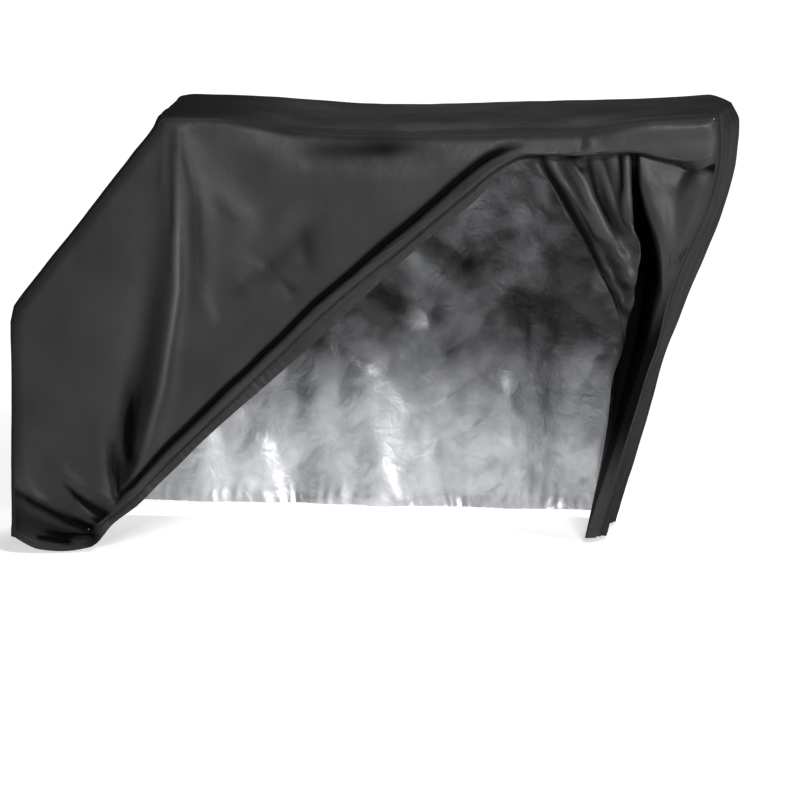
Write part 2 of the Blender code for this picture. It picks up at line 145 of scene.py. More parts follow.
def new_material(name):
    material = bpy.data.materials.new(name)
    material.use_nodes = True
    tree = material.node_tree
    return material, tree.nodes["Principled BSDF"], Value(tree, None)


def feed(shader, name, value):
    value.tree.links.new(value.socket, shader.inputs[name])

# %% [markdown]
# ## Floor and light
# The cover stands on a wide white floor that glows a little, so the background is white too. The
# glow is weaker under the cover, where its shade would lie. The lights are soft spots whose cones
# stay on the cover: a strong one high at the front, one at the right for the hanging cloth, and
# one behind for the top and the back. The colours are shown as they are, without a film curve.

# %% Floor and light
FLOOR_REACH = 70.0
FLOOR_CORNERS = 48
FLOOR_COLOR = (0.85, 0.85, 0.85, 1.0)
FLOOR_ROUGHNESS = 0.8
WHITE = (1.0, 1.0, 1.0, 1.0)
WORLD_LIGHT = 0.12
SPOT_BLEND = 0.6          # softness of a cone's edge
GLOW_FROM = (-8.0, 12.0)  # y, from in front of the cover to behind it
GLOW = ((-4.0, 0.93), (-2.0, 0.90), (0.0, 0.55), (1.2, 0.80), (5.0, 1.0), (10.0, 1.05))
Spot = namedtuple("Spot", "name place aim radius cone watts")
SPOTS = (
    Spot("key", (1.6, -5.2, 2.6), (0.30, 0.0, -0.5), 0.45, 36.0, 1150),
    Spot("right", (6.0, -6.0, 1.2), (0.0, -0.3, -0.5), 0.8, 22.0, 1400),
    Spot("back", (0.0, 4.0, 4.6), (0.0, 0.2, -0.2), 0.8, 24.0, 1300),
)


def floor_glow(start):
    """A glow that is weak under the cover and full far from it."""
    near, far = GLOW_FROM
    depth = start.out("ShaderNodeSeparateXYZ", output=1, Vector=start.out("ShaderNodeNewGeometry"))
    stops = [((y - near) / (far - near), (light, light, light)) for y, light in GLOW]
    return start.out("ShaderNodeValToRGB", {"ramp": stops}, i0=depth.ramp(near, far))


def make_floor():
    turns = np.linspace(0, 2 * math.pi, FLOOR_CORNERS, endpoint=False)
    points = [(FLOOR_REACH * math.cos(turn), FLOOR_REACH * math.sin(turn), FLOOR) for turn in turns]
    mesh = bpy.data.meshes.new("floor")
    mesh.from_pydata(points, [], [tuple(range(len(points)))])
    paint, shader, start = new_material("floor")
    shader.inputs["Base Color"].default_value = FLOOR_COLOR
    shader.inputs["Roughness"].default_value = FLOOR_ROUGHNESS
    shader.inputs["Specular IOR Level"].default_value = 0.0
    shader.inputs["Emission Strength"].default_value = 1.0
    feed(shader, "Emission Color", floor_glow(start))
    mesh.materials.append(paint)
    floor = bpy.data.objects.new("floor", mesh)
    bpy.context.scene.collection.objects.link(floor)


def spot_light(spot):
    """A soft light that stays on the cover."""
    data = bpy.data.lights.new(spot.name, "SPOT")
    data.shadow_soft_size = spot.radius
    data.spot_size = math.radians(spot.cone)
    data.spot_blend = SPOT_BLEND
    data.energy = spot.watts
    lamp = bpy.data.objects.new(spot.name, data)
    lamp.location = spot.place
    lamp.rotation_euler = (Vector(spot.aim) - Vector(spot.place)).to_track_quat("-Z", "Y").to_euler()
    bpy.context.scene.collection.objects.link(lamp)


def pale_world(strength):
    world = bpy.data.worlds.new("room")
    world.use_nodes = True
    backdrop = world.node_tree.nodes["Background"]
    backdrop.inputs["Color"].default_value = WHITE
    backdrop.inputs["Strength"].default_value = strength
    bpy.context.scene.world = world


make_floor()
pale_world(WORLD_LIGHT)
for spot in SPOTS:
    spot_light(spot)
bpy.context.scene.view_settings.view_transform = "Standard"
print("lights:", [(spot.name, spot.watts) for spot in SPOTS])

# %% [markdown]
# ## The cut and the hang
# These sizes and short tables are the ones the solids are built from: the top line, the front
# edge, and the lines of cloth in the near side, each with the place where it turns under, the
# size of that lap and the place of its hem.

# %% Sizes of the cover
WIDTH = 0.72              # across the two side panels
HALF = WIDTH / 2
SHOULDER = 0.038          # radius where a side turns into the centre strip
SEAM_ANGLE = 45.0         # the seam's place on the shoulder, in degrees
INSET = SHOULDER * (1 - math.cos(math.radians(SEAM_ANGLE)))
SLUMP = 0.022             # how far the near shoulder gives way in the middle
SLUMP_REACH = 0.075       # and how far round it that is felt
SLUMP_FROM, SLUMP_TO, SLUMP_FADE = -0.45, 0.66, 0.20
LAP_RADIUS = 0.009        # of both turns of the tucked-under edge
LAP_FULL = 0.020          # a lap this tall makes both turns complete
LAP_STEP = 0.006          # spacing of those rows where nothing is turned under
LAP_SHARE = 0.6           # or this share of the way to a nearby hem, for all of them
FAN_LINES = 5             # lines between the last deep fold and the front seam
FAN_ROWS = 3              # rows over which those lines close up behind the seam
REAR_X = -0.985           # the rear end hangs straight down
REAR_HEM = 0.045          # height of its hem
REAR_ARC = 0.040          # where its top starts to round into the slope, below the corner
SHOULDER_MASK = 0.09      # folds fade out over this much beside a seam
HANG_START = 0.34         # ahead of this the turned-under cloth hangs straight down
HANG_BLEND = 0.06         # and this is how gradually
BUNCH_DEPTH = 0.080       # its ridges fade out towards this depth behind the side
NEAR_SETBACK_START = 0.60                   # ahead of this the near top line drops back
TOP_ROWS = (0.0, 0.009, 0.020, 0.050)       # distances of the first rows from the seam
TOP_SHARES = (0.0, 0.3, 0.5, 0.7)           # or these shares of a drop that is short
OUTER_ROWS = 9                              # rows from there to the turned edge
# The rows of the turns: how far in and up, in radii, and their share of the lap's height.
LAP_ROWS = ((1, -1, 0), (2, 0, 0), (2, 0, 1), (3, 1, 1), (4, 0, 1))
FOLD_ROW = len(TOP_ROWS) + OUTER_ROWS - 1

TopRow = namedtuple("TopRow", "x height")
TOP_LINE = (
    TopRow(-0.975, 0.640), TopRow(-0.955, 0.668), TopRow(-0.615, 1.101), TopRow(-0.596, 1.133),
    TopRow(-0.560, 1.138), TopRow(-0.280, 1.131), TopRow(-0.190, 1.117), TopRow(0.020, 1.113),
    TopRow(0.400, 1.122), TopRow(0.620, 1.130), TopRow(0.820, 1.141), TopRow(0.865, 1.120),
)
EdgeRow = namedtuple("EdgeRow", "height far_x near_x near_y")
FRONT_EDGE = (
    EdgeRow(1.120, 0.865, 0.823, -0.360), EdgeRow(1.070, 0.887, 0.828, -0.360),
    EdgeRow(1.048, 0.887, 0.828, -0.360), EdgeRow(0.990, 0.883, 0.823, -0.360),
    EdgeRow(0.900, 0.866, 0.800, -0.356), EdgeRow(0.820, 0.841, 0.768, -0.348),
    EdgeRow(0.730, 0.806, 0.730, -0.334), EdgeRow(0.640, 0.767, 0.702, -0.314),
    EdgeRow(0.560, 0.737, 0.686, -0.292), EdgeRow(0.460, 0.697, 0.654, -0.262),
    EdgeRow(0.360, 0.667, 0.626, -0.228), EdgeRow(0.250, 0.634, 0.594, -0.188),
    EdgeRow(0.130, 0.598, 0.560, -0.142), EdgeRow(0.015, 0.563, 0.526, -0.100),
)
# A line of the near side: where it leaves the seam, where it turns under, the height of that lap
# and how much of it is tucked in, the place of its hem, and the bends it hangs in on the way.
Line = namedtuple("Line", "top_x fold_x fold_z lap tuck end_x end_z end_in route")
BUNCH = ((0.99, 0.594, -0.335), (0.90, 0.598, -0.345), (0.83, 0.610, -0.350),
         (0.79, 0.632, -0.352), (0.76, 0.620, -0.348), (0.68, 0.611, -0.335),
         (0.64, 0.598, -0.325), (0.56, 0.585, -0.300))
VALLEY = ((0.99, 0.600, -0.295), (0.90, 0.598, -0.215), (0.82, 0.606, -0.160),
          (0.73, 0.606, -0.130), (0.64, 0.597, -0.115), (0.56, 0.587, -0.110),
          (0.48, 0.570, -0.113), (0.42, 0.555, -0.125))
VALLEY_WALL = ((0.99, 0.613, -0.295), (0.90, 0.618, -0.215), (0.82, 0.632, -0.160),
               (0.73, 0.638, -0.130), (0.64, 0.632, -0.110), (0.56, 0.620, -0.105),
               (0.46, 0.590, -0.100), (0.32, 0.545, -0.115))
RIDGE = ((0.99, 0.625, -0.335), (0.90, 0.646, -0.345), (0.82, 0.672, -0.342),
         (0.73, 0.696, -0.333), (0.64, 0.668, -0.313), (0.56, 0.652, -0.291),
         (0.46, 0.620, -0.261), (0.25, 0.560, -0.187), (0.015, 0.488, -0.099))
NEAR_LINES = (
    Line(-0.975, REAR_X, 0.130, 0.0, 0.0, REAR_X, REAR_HEM, 0.0, None),
    Line(-0.955, -0.962, 0.125, 0.0, 0.0, -0.962, 0.038, 0.002, None),
    Line(-0.900, -0.925, 0.098, 0.0, 0.2, -0.915, 0.014, 0.014, None),
    Line(-0.840, -0.865, 0.076, 0.0, 0.6, -0.850, 0.006, 0.030, None),
    Line(-0.780, -0.800, 0.062, 0.0, 1.0, -0.788, 0.014, 0.038, None),
    Line(-0.720, -0.735, 0.103, 0.010, 1.0, -0.722, 0.080, 0.036, None),
    Line(-0.660, -0.680, 0.150, 0.018, 1.0, -0.662, 0.126, 0.036, None),
    Line(-0.615, -0.625, 0.205, 0.028, 1.0, -0.606, 0.182, 0.036, None),
    Line(-0.596, -0.575, 0.260, 0.035, 1.0, -0.550, 0.236, 0.036, None),
    Line(-0.560, -0.530, 0.304, 0.040, 1.0, -0.507, 0.280, 0.036, None),
    Line(-0.360, -0.304, 0.522, 0.045, 1.0, -0.272, 0.490, 0.036, None),
    Line(-0.240, -0.160, 0.660, 0.045, 1.0, -0.125, 0.622, 0.036, None),
    Line(-0.100, 0.016, 0.805, 0.045, 1.0, 0.040, 0.778, 0.036, None),
    Line(0.080, 0.170, 0.935, 0.045, 1.0, 0.195, 0.906, 0.034, None),
    Line(0.220, 0.282, 1.025, 0.045, 1.0, 0.306, 0.996, 0.030, None),
    Line(0.300, 0.335, 1.049, 0.045, 1.0, 0.380, 0.972, 0.030, None),
    Line(0.380, 0.420, 1.049, 0.045, 1.0, 0.438, 0.880, 0.026, None),
    Line(0.460, 0.500, 1.049, 0.045, 1.0, 0.511, 0.755, 0.022, None),
    Line(0.540, 0.560, 1.052, 0.045, 1.0, 0.562, 0.655, 0.026, None),
    Line(0.590, 0.592, 1.053, 0.045, 1.0, 0.585, 0.560, 0.0, BUNCH),
    Line(0.612, 0.603, 1.052, 0.045, 1.0, 0.555, 0.420, 0.0, VALLEY),
    Line(0.630, 0.614, 1.051, 0.045, 1.0, 0.545, 0.320, 0.0, VALLEY_WALL),
    Line(0.650, 0.624, 1.050, 0.045, 1.0, 0.488, 0.015, 0.0, RIDGE),
    Line(0.690, 0.670, 1.038, 0.040, 1.0, 0.494, 0.015, 0.0, None),
    Line(0.718, 0.704, 1.030, 0.012, 1.0, 0.498, 0.015, 0.0, None),
    Line(0.745, 0.745, 1.024, 0.0, 1.0, 0.503, 0.015, 0.0, None),
    Line(0.770, 0.778, 1.028, 0.0, 0.0, 0.506, 0.015, 0.0, None),
    Line(0.800, 0.806, 1.040, 0.0, 0.0, 0.514, 0.015, 0.0, None),
    Line(0.823, 0.828, 1.048, 0.0, 0.0, 0.526, 0.015, 0.0, None),
)
print("cover:", WIDTH, "m wide, lines of cloth in its near side:", len(NEAR_LINES))

# %% [markdown]
# ## Smooth runs through a few points
# Cloth bends smoothly, so a few measured points are joined by curves. A plain spline swings past
# its points where they crowd together, as they do in the turned edge. These curves keep the
# slope at a point between the slopes on its two sides, so they never swing past.

# %% Smooth runs


def smooth(value):
    """0 to 1 with level ends."""
    value = np.clip(value, 0.0, 1.0)
    return value * value * (3 - 2 * value)


def fade(value, start, over):
    """0 before start and 1 past it by over; where over is negative it grows backwards."""
    return smooth((value - start) / over)


def lengths_along(points, axis=0):
    """Length so far at each point of a line, or of a grid along one of its directions."""
    step = np.linalg.norm(np.diff(points, axis=axis), axis=-1)
    ends = [(0, 0)] * step.ndim
    ends[axis] = (1, 0)
    return np.cumsum(np.pad(step, ends), axis=axis)


def length_from(grid, row, axis=1):
    """Length along the cloth from one row of its grid, on both sides of it."""
    run = lengths_along(grid, axis)
    return np.abs(run - np.take(run, [row], axis=axis))


def rounded(points, counts):
    """A smooth run through points along the first axis, with counts[i] steps in gap i."""
    points = np.asarray(points, float)
    gap = np.diff(points, axis=0)
    length = np.linalg.norm(gap, axis=-1, keepdims=True) + 1e-6
    slope = gap / length
    before, after = slope[:-1], slope[1:]
    weight = (2 * length[1:] + length[:-1], length[1:] + 2 * length[:-1])
    same = before * after > 1e-12
    below = weight[0] / np.where(same, before, 1.0) + weight[1] / np.where(same, after, 1.0)
    inner = np.where(same, (weight[0] + weight[1]) / np.where(same, below, 1.0), 0.0)
    slopes = np.concatenate([slope[:1], inner, slope[-1:]])
    run = []
    for index, count in enumerate(counts):
        for step in range(count):
            t = step / count
            start, end = (1 + 2 * t) * (1 - t) ** 2, t * t * (3 - 2 * t)
            pull_start, pull_end = t * (1 - t) ** 2, t * t * (t - 1)
            run.append(start * points[index] + end * points[index + 1]
                       + length[index] * (pull_start * slopes[index] + pull_end * slopes[index + 1]))
    run.append(points[-1])
    return np.array(run)


def spans(points, step, least=1, most=40):
    """Steps for each gap, so that none is longer than step."""
    lengths = np.linalg.norm(np.diff(np.asarray(points), axis=0), axis=-1)
    if lengths.ndim > 1:
        lengths = lengths.max(axis=1)
    return [int(np.clip(math.ceil(length / step), least, most)) for length in lengths]


# %% [markdown]
# ## The outline of a side
# The seam runs up the rear end, along the slope and the top and down the front end. The two
# sides share it, apart from the front end, whose near edge is drawn back.

# %% Outline


def top_height(x):
    return np.interp(x, [row.x for row in TOP_LINE], [row.height for row in TOP_LINE])


def top_points(side):
    far_end, near_end = TOP_LINE[-1].x, NEAR_LINES[-1].top_x
    points = []
    for line in NEAR_LINES:
        reach = smooth((line.top_x - NEAR_SETBACK_START) / (near_end - NEAR_SETBACK_START))
        far_x = line.top_x + (far_end - near_end) * reach
        x = line.top_x if side < 0 else far_x
        points.append((x, top_height(x)))
    return points


def inward_normals(points):
    steps = np.diff(points, axis=0)
    steps /= np.linalg.norm(steps, axis=1)[:, None]
    along = np.vstack([steps[:1], steps]) + np.vstack([steps, steps[-1:]])
    along /= np.linalg.norm(along, axis=1)[:, None]
    return np.stack([along[:, 1], -along[:, 0]], axis=1)


REAR_STEPS = 60
FRONT_STEPS = 7
TOP_STEP = 0.010
TOP_SPANS = spans(top_points(1), TOP_STEP)


def outline(side):
    """The fine seam line of one side, and where its top starts and ends in it."""
    top = rounded(top_points(side), TOP_SPANS)
    rear = [(REAR_X, z) for z in np.linspace(REAR_HEM, top[0][1] - REAR_ARC, REAR_STEPS)]
    field = "near_x" if side < 0 else "far_x"
    front = [top[-1]] + [(getattr(row, field), row.height) for row in FRONT_EDGE[1:]]
    front = rounded(front, [FRONT_STEPS] * (len(front) - 1))
    return np.vstack([rear, top, front[1:]]), len(rear), len(rear) + len(top) - 1


SEAMS = {side: outline(side) for side in (-1, 1)}
print("seam line points:", len(SEAMS[-1][0]))


def seam_distance(x, z, seam):
    """Distance of points of the side's plane from its seam line."""
    x, z = np.asarray(x), np.asarray(z)
    best = np.full(x.shape, np.inf)
    for start, end in zip(seam[:-1], seam[1:]):
        step = end - start
        across, up = x - start[0], z - start[1]
        share = np.clip((across * step[0] + up * step[1]) / (step @ step), 0, 1)
        best = np.minimum(best, np.hypot(across - step[0] * share, up - step[1] * share))
    return best


def slumped(grid):
    """The near shoulder gives way between what holds the top up at its two ends."""
    x, y, z = grid[..., 0], grid[..., 1], grid[..., 2]
    middle = smooth((x - SLUMP_FROM) / SLUMP_FADE) * smooth((SLUMP_TO - x) / SLUMP_FADE)
    away = (y + HALF) ** 2 + (z - top_height(x)) ** 2
    drop = SLUMP * middle * np.exp(-away / SLUMP_REACH ** 2)
    return np.stack([x, y + drop, z - drop], axis=-1)


def shoulder_inset(distance):
    short = np.clip(SHOULDER - distance, 0.0, SHOULDER)
    return SHOULDER - np.sqrt(SHOULDER ** 2 - short ** 2)


# %% [markdown]
# ## Broad folds
# A broad fold is a soft ridge or trough along a bent line. Each row of the tables is one of
# them: its width, and the points of its line with how far out each stands. These are the forms
# that show from a step away, so the solids have them too.

# %% Broad folds
Fold = namedtuple("Fold", "width points")      # points: (x, height, how far out it stands)


def tapered(width, *points, reach=2.5):
    """A fold that runs out to nothing past both its ends, over reach times its width."""
    ends = []
    for (x, z, _), (x1, z1, _) in ((points[0], points[1]), (points[-1], points[-2])):
        share = reach * width / math.hypot(x - x1, z - z1)
        ends.append((round(x + (x - x1) * share, 3), round(z + (z - z1) * share, 3), 0.0))
    return Fold(width, (ends[0], *points, ends[1]))


NEAR_FOLDS = (
    # the long ridge and the troughs beside it
    Fold(0.031, ((-0.55, 1.09, 0.006), (-0.556, 0.765, 0.018), (-0.604, 0.405, 0.022),
        (-0.67, 0.19, 0.014), (-0.692, 0.125, 0.004))),
    Fold(0.032, ((-0.618, 0.8, -0.002), (-0.64, 0.56, -0.014), (-0.67, 0.4, -0.02),
        (-0.692, 0.249, -0.02), (-0.706, 0.18, -0.006))),
    Fold(0.02, ((-0.728, 0.33, -0.004), (-0.72, 0.23, -0.014), (-0.714, 0.15, -0.01))),
    # the triangular facet: a crest along its left side and a trough along its right
    Fold(0.031, ((-0.535, 1.08, 0.004), (-0.495, 0.9, 0.014), (-0.492, 0.69, 0.01),
        (-0.49, 0.59, 0.0))),
    Fold(0.045, ((-0.49, 1.04, -0.002), (-0.4, 0.965, -0.01), (-0.33, 0.895, -0.012),
        (-0.35, 0.78, -0.008), (-0.375, 0.69, 0.0))),
    # the dents below the top and above the cuff
    Fold(0.045, ((-0.3, 1.035, 0.0), (-0.2, 1.036, -0.006), (-0.03, 1.04, -0.012), (0.04, 1.046, -0.01),
        (0.13, 1.055, 0.0))),
    Fold(0.035, ((-0.16, 0.915, 0.0), (-0.23, 0.855, -0.01), (-0.32, 0.765, -0.012),
        (-0.39, 0.7, 0.0))),
    # the rear bag
    Fold(0.022, ((-0.96, 0.21, -0.003), (-0.88, 0.142, -0.01), (-0.8, 0.075, -0.014),
        (-0.77, 0.055, -0.008))),
    Fold(0.018, ((-0.95, 0.125, -0.003), (-0.88, 0.087, -0.008), (-0.81, 0.05, -0.01))),
    Fold(0.024, ((-0.87, 0.24, 0.003), (-0.82, 0.162, 0.01), (-0.77, 0.085, 0.014),
        (-0.75, 0.06, 0.006))),
)
BUNCH_FOLDS = (
    tapered(0.016, (0.36, 1.01, 0.0084), (0.56, 0.64, 0.014), reach=1.5),
    tapered(0.018, (0.41, 1.02, -0.0128), (0.58, 0.68, -0.016), reach=1.5),
    tapered(0.02, (0.46, 1.02, 0.016), (0.6, 0.72, 0.016), reach=1.5),
    tapered(0.016, (0.53, 1.02, -0.012), (0.59, 0.86, -0.012), reach=1.5),
    tapered(0.03, (0.64, 0.99, 0.008), (0.72, 0.78, 0.01), reach=1.5),
    tapered(0.028, (0.75, 0.96, -0.0032), (0.71, 0.78, -0.008), reach=1.5),
)
FAR_FOLDS = (
    Fold(0.06, ((-0.7, 0.9, 0.0), (-0.78, 0.06, 0.02), (-0.789, -0.03, 0.0))),
    Fold(0.06, ((-0.56, 1.06, 0.0), (-0.56, 0.06, -0.018), (-0.56, -0.03, 0.0))),
    Fold(0.06, ((-0.4, 1.06, 0.0022), (-0.3, 0.06, 0.022), (-0.291, -0.03, 0.0))),
    Fold(0.06, ((-0.2, 1.04, 0.0), (-0.06, 0.06, -0.02), (-0.047, -0.029, 0.0))),
    Fold(0.055, ((-0.02, 1.04, 0.002), (0.14, 0.06, 0.02), (0.153, -0.021, 0.0))),
    Fold(0.06, ((0.18, 1.04, 0.0), (0.29, 0.06, -0.018), (0.3, -0.029, 0.0))),
    Fold(0.06, ((0.42, 1.05, 0.0018), (0.43, 0.06, 0.018), (0.431, -0.03, 0.0))),
    Fold(0.05, ((0.64, 1.05, 0.0), (0.52, 0.1, -0.014), (0.511, 0.026, 0.0))),
)
print("broad folds:", len(NEAR_FOLDS) + len(BUNCH_FOLDS) + len(FAR_FOLDS))

# %% [markdown]
# ## Creases
# A crease is a narrow fold with a sharp crest: its height falls off as a pointed curve whose tip
# is only just rounded. Coated cloth keeps such creases from its folding and where it is pulled
# together, at the foot of the rear and beside the bunch of spare cloth.

# %% Creases
NEAR_CREASES = (
    # the long bright ridge
    Fold(0.01, ((-0.549, 1.1, 0.0021), (-0.552, 0.94, 0.0075), (-0.554, 0.69, 0.01),
        (-0.593, 0.442, 0.0095), (-0.643, 0.256, 0.0081), (-0.701, 0.141, 0.008),
        (-0.712, 0.119, 0.0))),
    # the trough beside it
    Fold(0.009, ((-0.574, 1.09, -0.0015), (-0.568, 0.86, -0.005), (-0.567, 0.838, 0.0))),
    tapered(0.008, (-0.583, 1.08, 0.0012), (-0.59, 0.96, 0.003)),
    # the edge of the bright facet
    Fold(0.022, ((-0.556, 1.123, 0.0), (-0.535, 1.085, 0.0022), (-0.45, 0.985, 0.003),
        (-0.35, 0.92, 0.0024), (-0.3, 0.88, 0.0))),
    Fold(0.013, ((-0.532, 1.08, -0.0012), (-0.5, 0.91, -0.005), (-0.492, 0.72, -0.004),
        (-0.491, 0.688, 0.0))),
    tapered(0.012, (-0.478, 0.69, 0.002), (-0.462, 0.62, 0.004)),
    tapered(0.02, (-0.24, 0.86, -0.002), (-0.225, 0.78, -0.005)),
    tapered(0.016, (-0.36, 0.78, -0.0024), (-0.26, 0.69, -0.006)),
    # deep creases above the pinch
    Fold(0.01, ((-0.665, 0.47, 0.0), (-0.669, 0.43, -0.007), (-0.68, 0.348, -0.014),
        (-0.689, 0.256, -0.014), (-0.692, 0.225, 0.0))),
    tapered(0.01, (-0.645, 0.4, 0.0035), (-0.662, 0.28, 0.007)),
    Fold(0.008, ((-0.718, 0.304, 0.0), (-0.72, 0.284, -0.006), (-0.72, 0.217, -0.012),
        (-0.71, 0.156, -0.012), (-0.705, 0.136, 0.0))),
    Fold(0.008, ((-0.703, 0.29, 0.0), (-0.704, 0.27, 0.004), (-0.702, 0.17, 0.008), (-0.7, 0.15, 0.0))),
    tapered(0.009, (-0.735, 0.25, 0.003), (-0.726, 0.15, 0.006)),
    # the rear bag's creases
    Fold(0.01, ((-0.859, 0.199, -0.003), (-0.815, 0.156, -0.0125), (-0.744, 0.11, -0.015),
        (-0.723, 0.096, 0.0))),
    Fold(0.014, ((-0.89, 0.235, 0.0), (-0.83, 0.2, 0.0022), (-0.73, 0.14, 0.008),
        (-0.705, 0.124, 0.0))),
    Fold(0.01, ((-0.986, 0.171, 0.0), (-0.968, 0.161, -0.0096), (-0.914, 0.13, -0.01),
        (-0.841, 0.092, -0.012), (-0.785, 0.07, -0.014), (-0.766, 0.062, 0.0))),
    Fold(0.01, ((-0.92, 0.15, 0.0024), (-0.79, 0.094, 0.008), (-0.767, 0.084, 0.0))),
    tapered(0.007, (-0.8, 0.104, -0.007), (-0.756, 0.089, -0.01)),
    tapered(0.007, (-0.904, 0.059, -0.0066), (-0.859, 0.046, -0.0115), (-0.78, 0.043, -0.012)),
    tapered(0.006, (-0.914, 0.043, -0.0096), (-0.841, 0.026, -0.012)),
    Fold(0.009, ((-0.94, 0.11, 0.0016), (-0.8, 0.06, 0.008), (-0.779, 0.052, 0.0))),
    Fold(0.014, ((-0.978, 0.29, 0.0), (-0.962, 0.24, 0.003), (-0.925, 0.145, 0.006),
        (-0.905, 0.1, 0.0))),
    # short marks over the bunch
    tapered(0.006, (0.472, 1.105, -0.003), (0.478, 1.06, -0.003)),
    tapered(0.006, (0.49, 1.112, 0.003), (0.496, 1.064, 0.003)),
    # the soft ridge at the front
    Fold(0.012, ((0.66, 1.095, 0.0012), (0.815, 1.115, 0.006), (0.845, 1.119, 0.0))),
    Fold(0.02, ((0.6, 1.07, -0.0008), (0.79, 1.08, -0.004), (0.84, 1.083, 0.0))),
)
BUNCH_CREASES = (
    # the hem's band and the crease beside it
    Fold(0.007, ((0.352, 1.038, 0.0), (0.362, 1.02, 0.005), (0.414, 0.93, 0.007), (0.49, 0.8, 0.007),
        (0.52, 0.745, 0.0))),
    Fold(0.009, ((0.366, 1.04, 0.0), (0.376, 1.02, -0.0096), (0.43, 0.925, -0.014), (0.5, 0.8, -0.014),
        (0.525, 0.75, -0.01), (0.545, 0.7, 0.0))),
    # the fan of ridges
    tapered(0.007, (0.414, 1.03, -0.0054), (0.477, 0.999, -0.009)),
    tapered(0.01, (0.434, 0.953, 0.007), (0.515, 0.838, 0.01)),
    tapered(0.01, (0.44, 1.01, 0.0042), (0.5, 0.91, 0.007)),
    tapered(0.009, (0.495, 1.02, -0.008), (0.52, 0.93, -0.0105), (0.57, 0.835, -0.011)),
    tapered(0.009, (0.545, 1.02, 0.0056), (0.575, 0.88, 0.008)),
    tapered(0.007, (0.573, 1.025, -0.009), (0.577, 0.95, -0.009)),
    tapered(0.008, (0.588, 1.02, 0.01), (0.591, 0.864, 0.01)),
    # crumples across it, lower down
    tapered(0.009, (0.515, 0.822, 0.0038), (0.566, 0.838, 0.0054), (0.625, 0.824, 0.0054)),
    tapered(0.008, (0.545, 0.8, -0.0048), (0.62, 0.8, -0.006)),
    tapered(0.009, (0.53, 0.77, 0.0034), (0.61, 0.772, 0.0042)),
    tapered(0.007, (0.548, 0.745, -0.0038), (0.6, 0.75, -0.0054)),
    tapered(0.008, (0.54, 0.723, 0.0049), (0.6, 0.718, 0.0054)),
    tapered(0.007, (0.548, 0.7, -0.0059), (0.605, 0.695, -0.0066)),
    tapered(0.008, (0.56, 0.672, 0.0034), (0.6, 0.655, 0.0042)),
    tapered(0.007, (0.57, 0.645, -0.0038), (0.604, 0.618, -0.0048)),
    # the hanging front curtain
    tapered(0.01, (0.64, 0.965, 0.0042), (0.74, 0.95, 0.0055), (0.825, 0.98, 0.005)),
    tapered(0.012, (0.65, 0.93, 0.004), (0.7, 0.8, 0.005)),
    tapered(0.014, (0.706, 0.94, -0.003), (0.7, 0.78, -0.005)),
    tapered(0.012, (0.78, 0.96, 0.003), (0.73, 0.79, 0.005)),
    tapered(0.007, (0.7, 0.757, -0.004), (0.745, 0.785, -0.0032), (0.79, 0.812, -0.004)),
    tapered(0.006, (0.705, 0.77, 0.003), (0.77, 0.812, 0.003)),
    tapered(0.008, (0.795, 1.01, -0.0048), (0.815, 0.965, -0.006)),
)
FAR_CREASES = (
    # slanting folds under the top
    tapered(0.03, (-0.23, 0.76, 0.0058), (0.06, 0.56, 0.0096)),
    tapered(0.024, (-0.18, 0.64, -0.0059), (0.02, 0.5, -0.0084)),
    tapered(0.026, (-0.1, 0.8, -0.0059), (0.11, 0.64, -0.0084)),
    tapered(0.022, (0.0, 0.82, 0.0059), (0.16, 0.7, 0.0084)),
    tapered(0.028, (-0.28, 0.58, 0.0059), (-0.12, 0.42, 0.0084)),
    tapered(0.024, (-0.26, 0.47, -0.005), (-0.08, 0.38, -0.0072)),
    tapered(0.032, (-0.12, 0.42, 0.0043), (0.06, 0.3, 0.006), (0.23, 0.42, 0.0096)),
    tapered(0.024, (0.16, 0.11, 0.0036), (0.23, 0.16, 0.006)),
    tapered(0.03, (0.08, 0.48, -0.0043), (0.27, 0.33, -0.0072)),
    tapered(0.03, (-0.48, 0.36, 0.005), (-0.36, 0.2, 0.0084)),
    tapered(0.026, (-0.42, 0.42, -0.0043), (-0.26, 0.3, -0.0072)),
    tapered(0.03, (0.56, 0.86, -0.0036), (0.6, 0.6, -0.006)),
    tapered(0.026, (0.7, 0.98, 0.0032), (0.64, 0.64, 0.0054)),
    tapered(0.03, (-0.84, 0.56, 0.0036), (-0.7, 0.3, 0.006)),
    tapered(0.028, (-0.7, 0.62, -0.0036), (-0.56, 0.38, -0.006)),
)
print("creases:", len(NEAR_CREASES) + len(BUNCH_CREASES) + len(FAR_CREASES))
